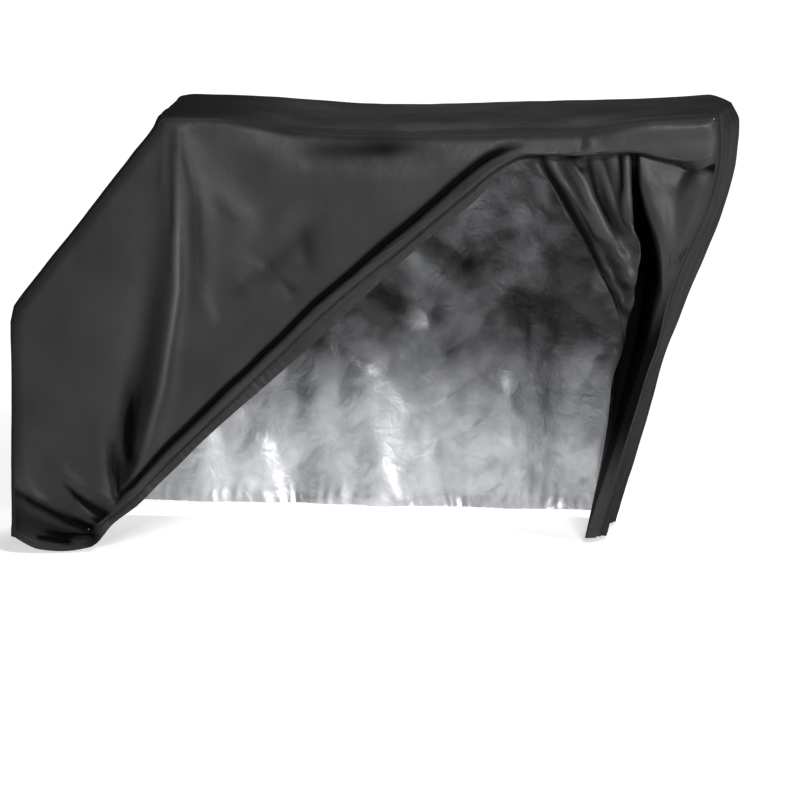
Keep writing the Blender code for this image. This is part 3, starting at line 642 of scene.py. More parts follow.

# %% [markdown]
# ## Painted highlights and painted shade
# Along some folds the black colour is lightened as a painted highlight, and along others it is
# darkened as painted shade. These places are lines like the folds, and their last number is how
# much. The finish reads them from the mesh, so a painted highlight stays on its own fold.

# %% Painted highlights and painted shade
# painted highlights along the long ridge, the facet, the front and the rear
PAINTED_HIGHLIGHTS = (
    Fold(0.007, ((-0.549, 1.09, 0.1), (-0.551, 1.0, 0.35), (-0.553, 0.86, 0.6), (-0.554, 0.69, 0.9),
        (-0.566, 0.6, 0.6), (-0.593, 0.442, 0.35), (-0.643, 0.256, 0.15), (-0.69, 0.15, 0.0))),
    Fold(0.045, ((-0.535, 1.095, 0.1), (-0.47, 1.0, 0.2), (-0.4, 0.92, 0.2), (-0.36, 0.86, 0.16),
        (-0.35, 0.78, 0.0))),
    Fold(0.05, ((-0.5, 0.98, 0.0), (-0.45, 0.88, 0.16), (-0.42, 0.79, 0.14), (-0.4, 0.73, 0.0))),
    Fold(0.012, ((-0.49, 0.7, 0.0), (-0.478, 0.67, 0.3), (-0.462, 0.62, 0.3), (-0.455, 0.59, 0.0))),
    Fold(0.05, ((0.62, 1.1, 0.1), (0.72, 1.085, 0.24), (0.81, 1.09, 0.24))),
    Fold(0.007, ((0.828, 1.11, 0.7), (0.83, 1.075, 0.6), (0.829, 1.045, 0.2))),
    Fold(0.03, ((-0.975, 0.24, 0.1), (-0.965, 0.19, 0.3), (-0.93, 0.15, 0.1))),
)
# painted shade: places along lines where the colour is darkened
PAINTED_SHADE_PATCHES = (
    Fold(0.026, ((-0.26, 1.04, 0.0), (-0.18, 1.044, 0.45), (-0.02, 1.05, 0.9), (0.03, 1.056, 0.6),
        (0.12, 1.066, 0.0))),
    Fold(0.016, ((-0.48, 1.126, 0.0), (-0.4, 1.116, 0.45), (-0.33, 1.107, 0.5), (-0.26, 1.094, 0.35),
        (-0.16, 1.088, 0.0))),
    Fold(0.012, ((-0.978, 0.166, 0.7), (-0.914, 0.13, 0.8), (-0.841, 0.092, 0.9), (-0.78, 0.068, 0.8))),
    Fold(0.03, ((-0.59, 0.98, 0.1), (-0.61, 0.7, 0.25), (-0.64, 0.55, 0.4), (-0.672, 0.4, 0.6),
        (-0.688, 0.26, 0.6), (-0.7, 0.17, 0.4))),
    Fold(0.01, ((-0.541, 1.085, 0.3), (-0.53, 1.01, 0.5), (-0.512, 0.93, 0.45), (-0.508, 0.78, 0.25),
        (-0.505, 0.65, 0.0))),
    Fold(0.014, ((-0.48, 0.945, 0.0), (-0.45, 0.91, 0.3), (-0.41, 0.87, 0.3), (-0.39, 0.855, 0.0))),
    Fold(0.02, ((-0.42, 0.66, 0.0), (-0.38, 0.7, 0.35), (-0.35, 0.735, 0.3), (-0.31, 0.715, 0.35),
        (-0.27, 0.7, 0.0))),
    Fold(0.02, ((-0.25, 0.86, 0.0), (-0.225, 0.82, 0.4), (-0.215, 0.77, 0.35), (-0.21, 0.72, 0.0))),
    Fold(0.05, ((-0.96, 0.09, 0.65), (-0.86, 0.05, 0.65), (-0.78, 0.04, 0.65), (-0.74, 0.07, 0.45))),
)
# painted shade over the bunch of spare cloth
BUNCH_SHADES = (
    Fold(0.012, ((0.374, 1.03, 0.9), (0.43, 0.93, 1.3), (0.495, 0.815, 1.3), (0.53, 0.745, 1.0),
        (0.56, 0.66, 0.5))),
    Fold(0.013, ((0.515, 1.01, 0.4), (0.535, 0.925, 0.9), (0.572, 0.838, 0.8), (0.58, 0.81, 0.0))),
    Fold(0.007, ((0.574, 1.03, 1.1), (0.578, 0.95, 1.0), (0.58, 0.9, 0.0))),
    Fold(0.01, ((0.43, 1.04, 0.7), (0.46, 1.022, 0.8), (0.5, 1.01, 0.0))),
    Fold(0.008, ((0.705, 0.75, 0.0), (0.735, 0.78, 0.8), (0.788, 0.812, 0.7), (0.8, 0.82, 0.0))),
    Fold(0.014, ((0.735, 1.018, 0.3), (0.785, 1.01, 1.0), (0.812, 1.004, 1.3), (0.826, 0.994, 1.1))),
    Fold(0.012, ((0.54, 0.69, 0.5), (0.58, 0.64, 1.0), (0.6, 0.62, 0.8))),
)
# painted highlights over the bunch of spare cloth
BUNCH_PAINTED_HIGHLIGHTS = (
    Fold(0.014, ((0.43, 1.01, 0.15), (0.47, 0.93, 0.25), (0.5, 0.87, 0.1))),
    Fold(0.02, ((0.49, 0.96, 0.2), (0.52, 0.88, 0.4), (0.55, 0.8, 0.3), (0.56, 0.77, 0.0))),
    Fold(0.008, ((0.586, 1.03, 0.3), (0.588, 0.96, 0.35), (0.592, 0.88, 0.1))),
    Fold(0.022, ((0.53, 0.76, 0.1), (0.57, 0.74, 0.2), (0.6, 0.72, 0.1))),
    Fold(0.03, ((0.69, 0.96, 0.0), (0.71, 0.9, 0.2), (0.705, 0.82, 0.2), (0.69, 0.74, 0.0))),
)
# Painted shade along the top of the centre strip: x, and how dark it is there.
TOP_PAINTED_SHADE = ((-1.0, 0.15), (-0.62, 0.15), (-0.59, 0.45), (-0.45, 0.40), (-0.28, 0.0))
print("shiny places:", len(PAINTED_HIGHLIGHTS + BUNCH_PAINTED_HIGHLIGHTS), "dull places:", len(PAINTED_SHADE_PATCHES + BUNCH_SHADES))

# %% [markdown]
# ## The height of the folds at a point
# Where two spans of one bent line overlap the higher one counts, so the line has no bump at its
# bends. Different folds add up, as they do in cloth.

# %% Folds at a point
TIP = 0.7                 # how blunt a crease's crest is, in widths


def fold_offset(x, z, folds, sharp=False):
    """Sum of the folds at points of the side's plane, outward."""
    total = np.zeros(np.shape(x))
    for fold in folds:
        height = np.zeros(np.shape(x))
        for (x0, z0, first), (x1, z1, last) in zip(fold.points, fold.points[1:]):
            run_x, run_z = x1 - x0, z1 - z0
            along = (x - x0) * run_x + (z - z0) * run_z
            share = np.clip(along / (run_x ** 2 + run_z ** 2), 0.0, 1.0)
            away = np.hypot(x - x0 - run_x * share, z - z0 - run_z * share) / fold.width
            shape = np.exp(TIP - np.sqrt(away ** 2 + TIP ** 2)) if sharp else np.exp(-away ** 2)
            piece = (first + (last - first) * share) * shape
            height = np.where(abs(piece) > abs(height), piece, height)
        total += height
    return total


print("the long ridge stands out by", round(float(fold_offset(-0.60, 0.40, NEAR_FOLDS[:1])), 4), "m")

# %% [markdown]
# ## The near side
# Each line of cloth runs from the seam over the shoulder and down to the turned edge, makes two
# turns there as a flattened S, and hangs on to its hem. Joined side by side, the lines give the
# slanting cuff, the bunch of spare cloth, the deep gap beside it and the curtain at the front.

# %% Near side lines


def lap_rows(line, fold, end):
    run = np.linalg.norm(end - fold)
    down = np.array([0.0, -1.0]) if line.fold_x > HANG_START else (end - fold) / run
    step = min(LAP_STEP, LAP_SHARE * run / len(LAP_ROWS))
    full = smooth(line.lap / LAP_FULL)
    deepest = LAP_ROWS[-1][0]
    rows = []
    for index, (inward, up, share) in enumerate(LAP_ROWS, start=1):
        plain_in = deepest * index / len(LAP_ROWS)
        rise = (up * LAP_RADIUS + share * line.lap) * full - index * step * (1 - full)
        spot = fold - down * rise
        depth = (plain_in + (inward - plain_in) * full) * LAP_RADIUS * line.tuck
        rows.append((spot[0], -HALF + depth, spot[1]))
    return rows


def hang_rows(line, first, end, shares):
    rows = []
    for share in shares:
        if line.route is None:
            rows.append(first + (end - first) * share)
            continue
        z = first[2] + (end[2] - first[2]) * share
        table = np.array(sorted(line.route + ((first[2], first[0], first[1]),)))
        x, y = (np.interp(z, table[:, 0], table[:, axis]) for axis in (1, 2))
        rows.append(np.array([x, y, z]))
    return rows


def outer_drop(start, fold):
    length = np.linalg.norm(fold - start)
    shares = [min(distance / length, share) for distance, share in zip(TOP_ROWS, TOP_SHARES)]
    shares += [shares[-1] + (1 - shares[-1]) * (row + 1) / OUTER_ROWS for row in range(OUTER_ROWS)]
    return [start + (fold - start) * share for share in shares]


def near_lines():
    seam, first, last = SEAMS[-1]
    inner = seam + inward_normals(seam) * INSET
    places = first + np.concatenate([[0], np.cumsum(TOP_SPANS)])
    low, high = FRONT_EDGE[-1].height, NEAR_LINES[-1].fold_z - len(LAP_ROWS) * LAP_STEP
    shares = [(high - row.height) / (high - low) for row in FRONT_EDGE if row.height < high]
    lines = []
    for place, line in zip(places, NEAR_LINES):
        fold, end = np.array([line.fold_x, line.fold_z]), np.array([line.end_x, line.end_z])
        if place == first:
            fold[0] = end[0] = REAR_X + INSET
        points = [(x, -HALF, z) for x, z in outer_drop(inner[place], fold)] + lap_rows(line, fold, end)
        hem = np.array([end[0], -HALF + line.end_in, end[1]])
        points += hang_rows(line, np.array(points[-1]), hem, shares)
        lines.append(np.array(points))
    place_front_edge(lines, inner[last:], len(shares))
    return np.array(lines)


def place_front_edge(lines, seam, count):
    """Puts the last line on the front end's seam and fans the others behind it."""
    edge = lines[-1]
    edge[:, 0] = np.interp(edge[:, 2], seam[::-1, 1], seam[::-1, 0])
    heights = [row.height for row in FRONT_EDGE[::-1]]
    edge[:, 1] = np.interp(edge[:, 2], heights, [row.near_y for row in FRONT_EDGE[::-1]])
    ridge = lines[-FAN_LINES - 2]
    for offset in range(2, FAN_LINES + 2):
        share = 1 - (offset - 1) / (FAN_LINES + 1)
        for row in range(len(edge) - count, len(edge)):
            blend = smooth((row - (len(edge) - count) + 1) / FAN_ROWS)
            target = ridge[row] + (edge[row] - ridge[row]) * share
            lines[-offset][row] += (target - lines[-offset][row]) * blend


KEY_LINES = near_lines()
LINE_STEP = 0.014         # longest step across the lines
PINCH_LINES, PINCH_STEPS = range(1, 9), 10
RIDGE_LINE = 9
ACROSS = [max(count, PINCH_STEPS) if index in PINCH_LINES else count
          for index, count in enumerate(spans(KEY_LINES, LINE_STEP, least=2))]
ACROSS[RIDGE_LINE] *= 2
TOP_STEPS, OUTER_STEPS, LAP_STEPS, HANG_STEPS = [2, 2, 3], [5, 5, 5, 5, 5, 8, 8, 12, 18], 4, 5
HANG_GAPS = KEY_LINES.shape[1] - FOLD_ROW - 1 - len(LAP_ROWS)
DOWN = TOP_STEPS + OUTER_STEPS + [LAP_STEPS] * len(LAP_ROWS) + [HANG_STEPS] * HANG_GAPS
near_grid = rounded(rounded(KEY_LINES, ACROSS).transpose(1, 0, 2), DOWN).transpose(1, 0, 2)
FOLD_AT = sum(DOWN[:FOLD_ROW])
LAP_END = sum(DOWN[:FOLD_ROW + len(LAP_ROWS)])
print("near side grid:", near_grid.shape, "turned edge at row", FOLD_AT)

# %% [markdown]
# ## The near side's folds and creases
# The fine grid gets the broad folds, then the creases, crumples and the small ripples that
# elastic and stitches draw up along the hem and the turned edge. The points are moved along the
# cloth's own normals, so that a crease in the hanging cloth stands out of it and not sideways.
# Beside the turned edge the cloth is held down in a groove, which makes the cuff.

# %% Near side folds


def outward(grid):
    """The outer normal at each point of a grid (lines, rows, 3)."""
    normal = np.cross(np.gradient(grid, axis=1), np.gradient(grid, axis=0))
    return normal / (np.linalg.norm(normal, axis=-1, keepdims=True) + 1e-12)


def uneven(grid, scale, detail=2, seed=0.0):
    """Soft noise at the points of a grid, about -1 to 1, at one size in each direction."""
    flat = (grid.reshape(-1, 3) * np.asarray(scale) + seed).tolist()
    values = [noise.fractal(point, 1.0, 2.0, detail) for point in flat]
    return np.array(values).reshape(grid.shape[:2])


Pucker = namedtuple("Pucker", "period seed height")
Crumple = namedtuple("Crumple", "depth scale seed")
WANDER_SCALE, WANDER = 9.0, 5.0             # how unevenly the ripples follow each other
HEIGHT_SCALE, HEIGHT_SHARE = 14.0, 0.45     # and how uneven their heights are


def puckers(grid, kind, envelope):
    """Ripples that run off a hem or seam: across the lines, uneven in width and height."""
    wander = WANDER * uneven(grid, WANDER_SCALE, seed=kind.seed)
    height = 1 - HEIGHT_SHARE + HEIGHT_SHARE * uneven(grid, HEIGHT_SCALE, seed=kind.seed + 5)
    return np.sin(2 * np.pi * lengths_along(grid) / kind.period + wander) * height * kind.height * envelope


def rest_on_near_seam(grid):
    """Lays the grid against the shoulder with its broad folds; returns the distance from the seam."""
    x, y, z = grid[..., 0], grid[..., 1], grid[..., 2]
    distance = seam_distance(x, z, SEAMS[-1][0])
    free = fade(distance, INSET, SHOULDER_MASK)
    push = fold_offset(x, z, NEAR_FOLDS) * free
    edge = push[:, FOLD_AT:FOLD_AT + 1]
    hanging = fold_offset(x, z, BUNCH_FOLDS) * free
    hanging *= fade(y, BUNCH_DEPTH - HALF, -BUNCH_DEPTH / 2)
    ahead = fade(x, HANG_START - HANG_BLEND / 2, HANG_BLEND)
    behind = edge * (1 - ahead) + hanging * ahead
    push[:, FOLD_AT:] = behind[:, FOLD_AT:]
    grid[..., 1] += shoulder_inset(distance) - push
    return distance


def settled(grid):
    """The grid with normals that are even enough to give it a thickness."""
    normal = outward(grid)
    padded = np.pad(normal, ((1, 1), (1, 1), (0, 0)), mode="edge")
    normal = (padded[1:-1, 1:-1] * 2 + padded[:-2, 1:-1] + padded[2:, 1:-1]
              + padded[1:-1, :-2] + padded[1:-1, 2:])
    return grid, normal / np.linalg.norm(normal, axis=-1, keepdims=True)


REAR_BLEND = 0.04         # the width of that cloth


def meet_rear_seam(grid):
    """The rear edge follows the seam's bend, and the cloth beside it goes along."""
    seam, first, _ = SEAMS[-1]
    inner = (seam + inward_normals(seam) * INSET)[:first + 1]
    shift = np.interp(grid[0, :, 2], inner[:, 1], inner[:, 0]) - grid[0, :, 0]
    grid[..., 0] += shift * (1 - smooth((grid[..., 0] - grid[0, :, 0]) / REAR_BLEND))
    return grid


# Where each part starts and over how much it fades in, along x, down the rows or from an edge.
REAR_BAG = (-0.74, -0.04)
OUTER_FACE = (FOLD_AT + 2, -4.0)
BELOW_LAP = (LAP_END - 6, 6.0)
NEAR_THE_SIDE = (BUNCH_DEPTH - HALF, -BUNCH_DEPTH / 2)
HANGING = (HANG_START, 0.05)
OFF_HEM = (0.002, 0.012)
OFF_SEAM = (INSET, 0.03)
CRUMPLED = (0.0, 0.05)
HEM_DOWN, HEM_FROM, HEM_TO = (FOLD_AT, 6.0), (-0.80, 0.05), (0.40, -0.06)
CUFF_FROM, CUFF_TO = (-0.74, 0.08), (0.34, -0.10)
# where painted shade darkens the deep gap behind the bunch
POCKET_BACK, POCKET_DOWN = (0.028 - HALF, 0.045), (LAP_END, 4.0)
POCKET_FROM, POCKET_FOOT = (0.45, 0.08), (0.10, 0.25)
CRUMPLE, CRUMPLE_INSIDE = Crumple(0.0022, (7.0, 7.0, 3.5), 2.7), 0.6
CUFF = 0.031              # height of the cuff, and the groove above it
CUFF_UNEVEN = Crumple(CUFF * 0.15, 6.0, 3.3)    # how that height wanders
CUFF_RIPPLES = (CUFF, -0.008)
GROOVE_WIDTH, GROOVE_DEPTH = 0.010, 0.013
# painted shade in the groove: how dark, and its width in groove widths
GROOVE_SHADE, GROOVE_SHADE_WIDTH = 1.5, 1.3
CREASE_PAINTED_SHADE = (0.003, 0.006)                # painted shade starts in a crease this deep, and grows over how much more
HEM_PUCKERS = Pucker(0.021, 1.3, 0.0022)
CUFF_PUCKERS = Pucker(0.016, 7.9, 0.0013)


def parts_of_side(grid):
    """Shares of the outer face, of the spare cloth below the turns and of the cuff."""
    row = np.arange(grid.shape[1])[None, :]
    x, y = grid[..., 0], grid[..., 1]
    outer = fade(row, *OUTER_FACE) * np.ones((len(grid), 1))
    outer = outer + (1 - outer) * fade(x, *REAR_BAG)
    below = (1 - outer) * fade(y, *NEAR_THE_SIDE) * fade(row, *BELOW_LAP)
    return outer, below, fade(x, *CUFF_FROM) * fade(x, *CUFF_TO) * outer


def near_creases(grid, distance, outer, below):
    """How far the creases stand out."""
    x, z = grid[..., 0], grid[..., 2]
    beside_seam = fade(distance, *OFF_SEAM)
    creases = fold_offset(x, z, NEAR_CREASES, sharp=True) * beside_seam * outer
    hanging = below * fade(x, *HANGING) * fade(length_from(grid, -1), *OFF_HEM)
    return creases + fold_offset(x, z, BUNCH_CREASES, sharp=True) * hanging * beside_seam


def side_marks(grid, outer, below, creases, groove):
    """Painted shade and painted highlights of the cloth."""
    x, y, z = grid[..., 0], grid[..., 1], grid[..., 2]
    row = np.arange(grid.shape[1])[None, :]
    # painted shade in the deep gap, in the creases and along the listed lines
    painted_gap_shade = fade(y, *POCKET_BACK) * fade(row, *POCKET_DOWN) * fade(x, *POCKET_FROM) * fade(z, *POCKET_FOOT)
    painted_crease_shade = (-creases - CREASE_PAINTED_SHADE[0]) / CREASE_PAINTED_SHADE[1]
    painted_patch_shade = fold_offset(x, z, PAINTED_SHADE_PATCHES) * outer + fold_offset(x, z, BUNCH_SHADES) * below
    shiny = fold_offset(x, z, PAINTED_HIGHLIGHTS) * outer + fold_offset(x, z, BUNCH_PAINTED_HIGHLIGHTS) * below
    return {"trough": np.maximum.reduce([groove, painted_crease_shade, painted_gap_shade, painted_patch_shade]), "shiny": shiny}


def near_surface(grid):
    distance = rest_on_near_seam(grid)
    grid = slumped(grid)
    normal = outward(grid)
    outer, below, cuff = parts_of_side(grid)
    creases = near_creases(grid, distance, outer, below)
    crumple = CRUMPLE.depth * uneven(grid, CRUMPLE.scale, 3, CRUMPLE.seed) * fade(distance, *CRUMPLED)
    push = creases + crumple * (CRUMPLE_INSIDE + (1 - CRUMPLE_INSIDE) * outer)
    row = np.arange(grid.shape[1])[None, :]
    hem = fade(row, *HEM_DOWN) * fade(grid[..., 0], *HEM_FROM) * fade(grid[..., 0], *HEM_TO)
    push += puckers(grid, HEM_PUCKERS, hem)
    above = length_from(grid, FOLD_AT)
    band = above + CUFF_UNEVEN.depth * uneven(grid, CUFF_UNEVEN.scale, seed=CUFF_UNEVEN.seed)
    from_groove = (band - CUFF) / GROOVE_WIDTH
    push -= GROOVE_DEPTH * np.exp(-from_groove ** 2) * cuff
    push += puckers(grid, CUFF_PUCKERS, cuff * fade(above, *CUFF_RIPPLES))
    # painted shade in the groove above the cuff
    groove = GROOVE_SHADE * np.exp(-(from_groove / GROOVE_SHADE_WIDTH) ** 2) * cuff
    marks = side_marks(grid, outer, below, creases, groove)
    return (*settled(grid + normal * push[..., None]), marks)


near_grid, near_normal, near_marks = near_surface(meet_rear_seam(near_grid))
print("near side's deepest trough mark:", round(float(near_marks["trough"].max()), 2))

# %% [markdown]
# ## The far side
# It hangs straight, so it fills the space between its four edges. Mostly its inner face shows,
# with slanting creases under the top and soft crumples all over, which the silver brings out.

# %% Far side grid
FAR_ROWS = 120
FAR_LOW = (0.12, -0.10)                     # the gathers of its hem
FAR_PUCKERS = Pucker(0.032, 4.4, 0.003)
FAR_CRUMPLES = (Crumple(0.012, (4.2, 4.2, 3.2), 8.1), Crumple(0.005, (10.0, 10.0, 7.0), 3.7))
CRUMPLE_LEVEL = 0.35                        # about as much of it stands out as in


def at_shares(line, shares):
    """The points of a line at shares of its length."""
    run = lengths_along(line)
    return np.stack([np.interp(shares * run[-1], run, line[:, axis]) for axis in (0, 1)], axis=1)


def between_edges():
    """Points of the side's plane that fill the space between its top, its ends and its hem."""
    seam, first, last = SEAMS[1]
    inner = seam + inward_normals(seam) * INSET
    top = inner[first:last + 1]
    down = np.linspace(0, 1, FAR_ROWS)
    left, right = at_shares(inner[first::-1], down), at_shares(inner[last:], down)
    run = lengths_along(top)
    u, v = (run / run[-1])[:, None, None], down[None, :, None]
    bottom = left[-1] + (right[-1] - left[-1]) * u[:, 0]
    spot = (1 - v) * top[:, None] + v * bottom[:, None] + (1 - u) * left[None] + u * right[None]
    start, end = ((1 - v) * top[at] + v * bottom[at] for at in (0, -1))
    return spot - (1 - u) * start - u * end


def far_surface():
    spot = between_edges()
    x, z = spot[..., 0], spot[..., 1]
    distance = seam_distance(x, z, SEAMS[1][0])
    free = fade(distance, INSET, SHOULDER_MASK)
    y = HALF - shoulder_inset(distance) + fold_offset(x, z, FAR_FOLDS) * free
    grid = np.stack([x, y, z], axis=-1)
    normal = -outward(grid)
    crease = fold_offset(x, z, FAR_CREASES, sharp=True) * free
    for crumple in FAR_CRUMPLES:
        ridges = CRUMPLE_LEVEL - np.abs(uneven(grid, crumple.scale, 2, crumple.seed))
        crease += crumple.depth * ridges * free
    crease += puckers(grid, FAR_PUCKERS, fade(z, *FAR_LOW) * free)
    grid, normal = settled(grid + normal * crease[..., None])
    return grid, -normal


far_grid, far_normal = far_surface()
print("far side grid:", far_grid.shape)

# %% [markdown]
# ## The centre strip
# It runs round the whole seam line, from the rear hem to the front hem. Each row goes over one
# shoulder, across, and over the other. It dips a little between what holds it up, and its two
# hems are gathered. Its edges tuck under the sides, as in a lapped seam.

# %% Centre strip grid
Sag = namedtuple("Sag", "x reach depth")
TOP_SAGS = (Sag(-0.400, 0.120, 0.006), Sag(-0.120, 0.200, -0.014),
            Sag(0.300, 0.160, -0.008), Sag(0.620, 0.140, 0.010))
Gather = namedtuple("Gather", "y width depth")
HEM_GATHERS = (Gather(-0.190, 0.045, -0.014), Gather(-0.060, 0.050, 0.014),
               Gather(0.080, 0.045, -0.016), Gather(0.220, 0.050, 0.012))
GATHER_TOP = 0.75         # height at which the gathers start
SHOULDER_FACETS = 8
STRIP_FACETS = 44
SEAM_LAP = 9.0            # degrees of the shoulder that the strip runs on under a side
SEAM_STEP = 0.0016        # how far under
STEP_WIDTH = 3.0          # degrees on both sides of the seam in which it goes under
EDGE_SHARE = 4            # the gathers are full where the crown is 1 / this high
MIDDLE = (0.2, 1 / 6)     # crumples keep off its two edges
STRIP_CRUMPLE = Crumple(0.0030, (5.0, 9.0, 5.0), 5.5)
STRIP_LOW = (0.16, -0.14)
STRIP_PUCKERS = Pucker(0.030, 6.1, 0.003)


def edge_level(height):
    rows = FRONT_EDGE[::-1]
    return np.interp(height, [row.height for row in rows], [row.near_y for row in rows])


def shoulder_arc(spot, inward, level, side):
    row = []
    for angle in np.linspace(SEAM_ANGLE + SEAM_LAP, 0, SHOULDER_FACETS + 1):
        under = SEAM_STEP * fade(angle, SEAM_ANGLE - STEP_WIDTH, 2 * STEP_WIDTH)
        bend, radius = math.radians(angle), SHOULDER - under
        place = spot + inward * (SHOULDER - radius * math.cos(bend))
        row.append((place[0], level - side * (SHOULDER - radius * math.sin(bend)), place[1]))
    return row


def across_row(start, end, away):
    """The points between the two shoulders, with the sag of the top and the gathers of the ends."""
    share = (np.arange(1, STRIP_FACETS) / STRIP_FACETS)[:, None]
    flat = start + (end - start) * share
    crown = np.sin(np.pi * share[:, 0])
    x, y, z = flat.T
    sag = sum(item.depth * np.exp(-((x - item.x) / item.reach) ** 2) for item in TOP_SAGS)
    ripple = sum(item.depth * np.exp(-((y - item.y) / item.width) ** 2) for item in HEM_GATHERS)
    gathered = fade(z, GATHER_TOP, -GATHER_TOP) * smooth(EDGE_SHARE * crown)
    push = sag * crown * fade(z, GATHER_TOP, 1 - GATHER_TOP) + ripple * gathered
    return flat + away * push[:, None]


def strip_surface():
    near, far = SEAMS[-1][0], SEAMS[1][0]
    rows = []
    for near_spot, far_spot, near_way, far_way in zip(near, far, inward_normals(near), inward_normals(far)):
        level = edge_level(near_spot[1]) if near_spot[0] > 0 else -HALF
        left = shoulder_arc(near_spot, near_way, level, -1)
        right = shoulder_arc(far_spot, far_way, HALF, 1)[::-1]
        away = -np.array([far_way[0], 0.0, far_way[1]])
        rows.append(np.array(left + list(across_row(np.array(left[-1]), np.array(right[0]), away)) + right))
    grid = slumped(np.array(rows))
    normal = -outward(grid)
    middle = fade(np.sin(np.pi * np.linspace(0, 1, grid.shape[1])), *MIDDLE)[None, :]
    push = STRIP_CRUMPLE.depth * uneven(grid, STRIP_CRUMPLE.scale, 3, STRIP_CRUMPLE.seed) * middle
    low = fade(grid[..., 2], *STRIP_LOW) * middle
    push += puckers(grid.transpose(1, 0, 2), STRIP_PUCKERS, low.T).T
    grid, normal = settled(grid + normal * push[..., None])
    return grid, -normal


strip_grid, strip_normal = strip_surface()
print("centre strip grid:", strip_grid.shape)

# %% [markdown]
# ## The cloth's two finishes
# The outside is fine black woven cloth with a tight, slightly shiny face, dusty along the hems,
# with painted shade where it folds in and painted highlights along some folds. The inside has a
# silver coating that shows crumples as bright and dull patches, with painted shade towards the
# top. Both have a weave of crossed threads about half a millimetre apart and crumple marks in two
# sizes.

# %% Cloth materials
BLACK = (0.032, 0.0325, 0.0335)
BLACK_LIT = (0.042, 0.0425, 0.0435)
# painted highlight: the colour of the lit places along some folds
BLACK_PAINTED_HIGHLIGHT = (0.085, 0.086, 0.088)
BLACK_PAINTED_SHADE = (0.003, 0.003, 0.003)    # painted shade: creases, the deep gap and some patches are darkened to this
DUST = (0.085, 0.080, 0.074)
SILVER = (0.74, 0.75, 0.77)
SILVER_DULL = (0.40, 0.41, 0.43)
SILVER_PAINTED_SHADE = (0.050, 0.051, 0.053)        # painted shade towards the top of the inside
THREAD_DARK, THREAD_LIGHT = (0.030, 0.030, 0.032), (0.060, 0.060, 0.064)
CLOTH_TINT = (0.28, 0.28, 0.28, 1.0)       # of its reflection seen at a flat angle
THREAD_STEP = 0.0009      # of the woven grid


def weave(start):
    """Height of crossed threads, 0 to 1, from the cloth's own measured map."""
    place = start.out("ShaderNodeUVMap", {"uv_map": "cut"})
    parts = start.node("ShaderNodeSeparateXYZ", Vector=place)
    warp, weft = (Value(start.tree, parts.outputs[index]) for index in (0, 1))
    turns = 2 * math.pi / THREAD_STEP
    over = start.math("SINE", warp * turns)
    under = start.math("SINE", weft * turns)
    return (over * under) * 0.5 + 0.5


def crumples(start, size, seed):
    """Soft crumple marks with sharp valleys, 0 to 1."""
    place = start.out("ShaderNodeTexCoord", output=OBJECT_SPACE)
    bent = start.out("ShaderNodeTexNoise", {"noise_dimensions": "4D"}, output=0,
                     Vector=place, W=seed, Scale=1 / size, Detail=3.0, Roughness=0.55, Distortion=0.6)
    return start.math("ABSOLUTE", bent * 2.0 - 1.0)


def cloud(start, size, seed, detail=3.0):
    """Soft patches of one size, 0 to 1."""
    place = start.out("ShaderNodeTexCoord", output=OBJECT_SPACE)
    return start.out("ShaderNodeTexNoise", {"noise_dimensions": "4D"}, output=0,
                     Vector=place, W=seed, Scale=1 / size, Detail=detail, Roughness=0.5)


def bump(start, height, strength, distance, below=None):
    inputs = {"Height": height, "Strength": strength, "Distance": distance}
    if below is not None:
        inputs["Normal"] = below
    return start.out("ShaderNodeBump", None, 0, **inputs)


def mark(start, name):
    """One of the shares that the mesh carries."""
    return start.out("ShaderNodeAttribute", {"attribute_name": name}, output=FACTOR)


def black_cloth():
    material, shader, start = new_material("black_coated_cloth")
    hem, trough, shiny = (mark(start, name) for name in ("hem", "trough", "shiny"))
    patches = cloud(start, 0.16, 1.0)
    color = mix_colors(patches.ramp(0.35, 0.70), BLACK, BLACK_LIT)
    dust = cloud(start, 0.03, 2.0).ramp(0.50, 0.80) * hem * 0.35
    # painted shade and painted highlights from the marks the mesh carries, mixed into the colour
    color = mix_colors(trough * 0.97, mix_colors(shiny, color, BLACK_PAINTED_HIGHLIGHT), BLACK_PAINTED_SHADE)
    feed(shader, "Base Color", mix_colors(dust, color, DUST))
    feed(shader, "Roughness", 0.40 + 0.10 * cloud(start, 0.08, 3.0) + 0.10 * hem + 0.3 * trough)
    surface = bump(start, crumples(start, 0.045, 4.0), 0.20, 0.004)
    surface = bump(start, crumples(start, 0.014, 5.0), 0.06, 0.0010, surface)
    feed(shader, "Normal", bump(start, weave(start), 0.25, 0.00012, surface))
    shader.inputs["Specular IOR Level"].default_value = 0.0
    shader.inputs["Metallic"].default_value = 0.5
    shader.inputs["Specular Tint"].default_value = CLOTH_TINT
    return material


def silver_coating():
    material, shader, start = new_material("silver_coating")
    patches = cloud(start, 0.10, 11.0)
    marks = crumples(start, 0.080, 12.0)
    tone = patches.ramp(0.30, 0.70) * 0.6 + marks.ramp(0.0, 0.5) * 0.4
    # painted shade towards the top of the inside
    silver_painted_shade = mark(start, "shade") * (0.75 + 0.25 * cloud(start, 0.14, 14.0).ramp(0.35, 0.60))
    feed(shader, "Base Color", mix_colors(silver_painted_shade, mix_colors(tone, SILVER_DULL, SILVER), SILVER_PAINTED_SHADE))
    feed(shader, "Roughness", 0.34 + 0.14 * cloud(start, 0.05, 13.0))
    surface = bump(start, marks, 0.35, 0.005)
    surface = bump(start, crumples(start, 0.030, 15.0), 0.30, 0.0025, surface)
    feed(shader, "Normal", bump(start, weave(start), 0.25, 0.00012, surface))
    shader.inputs["Metallic"].default_value = 0.88
    return material


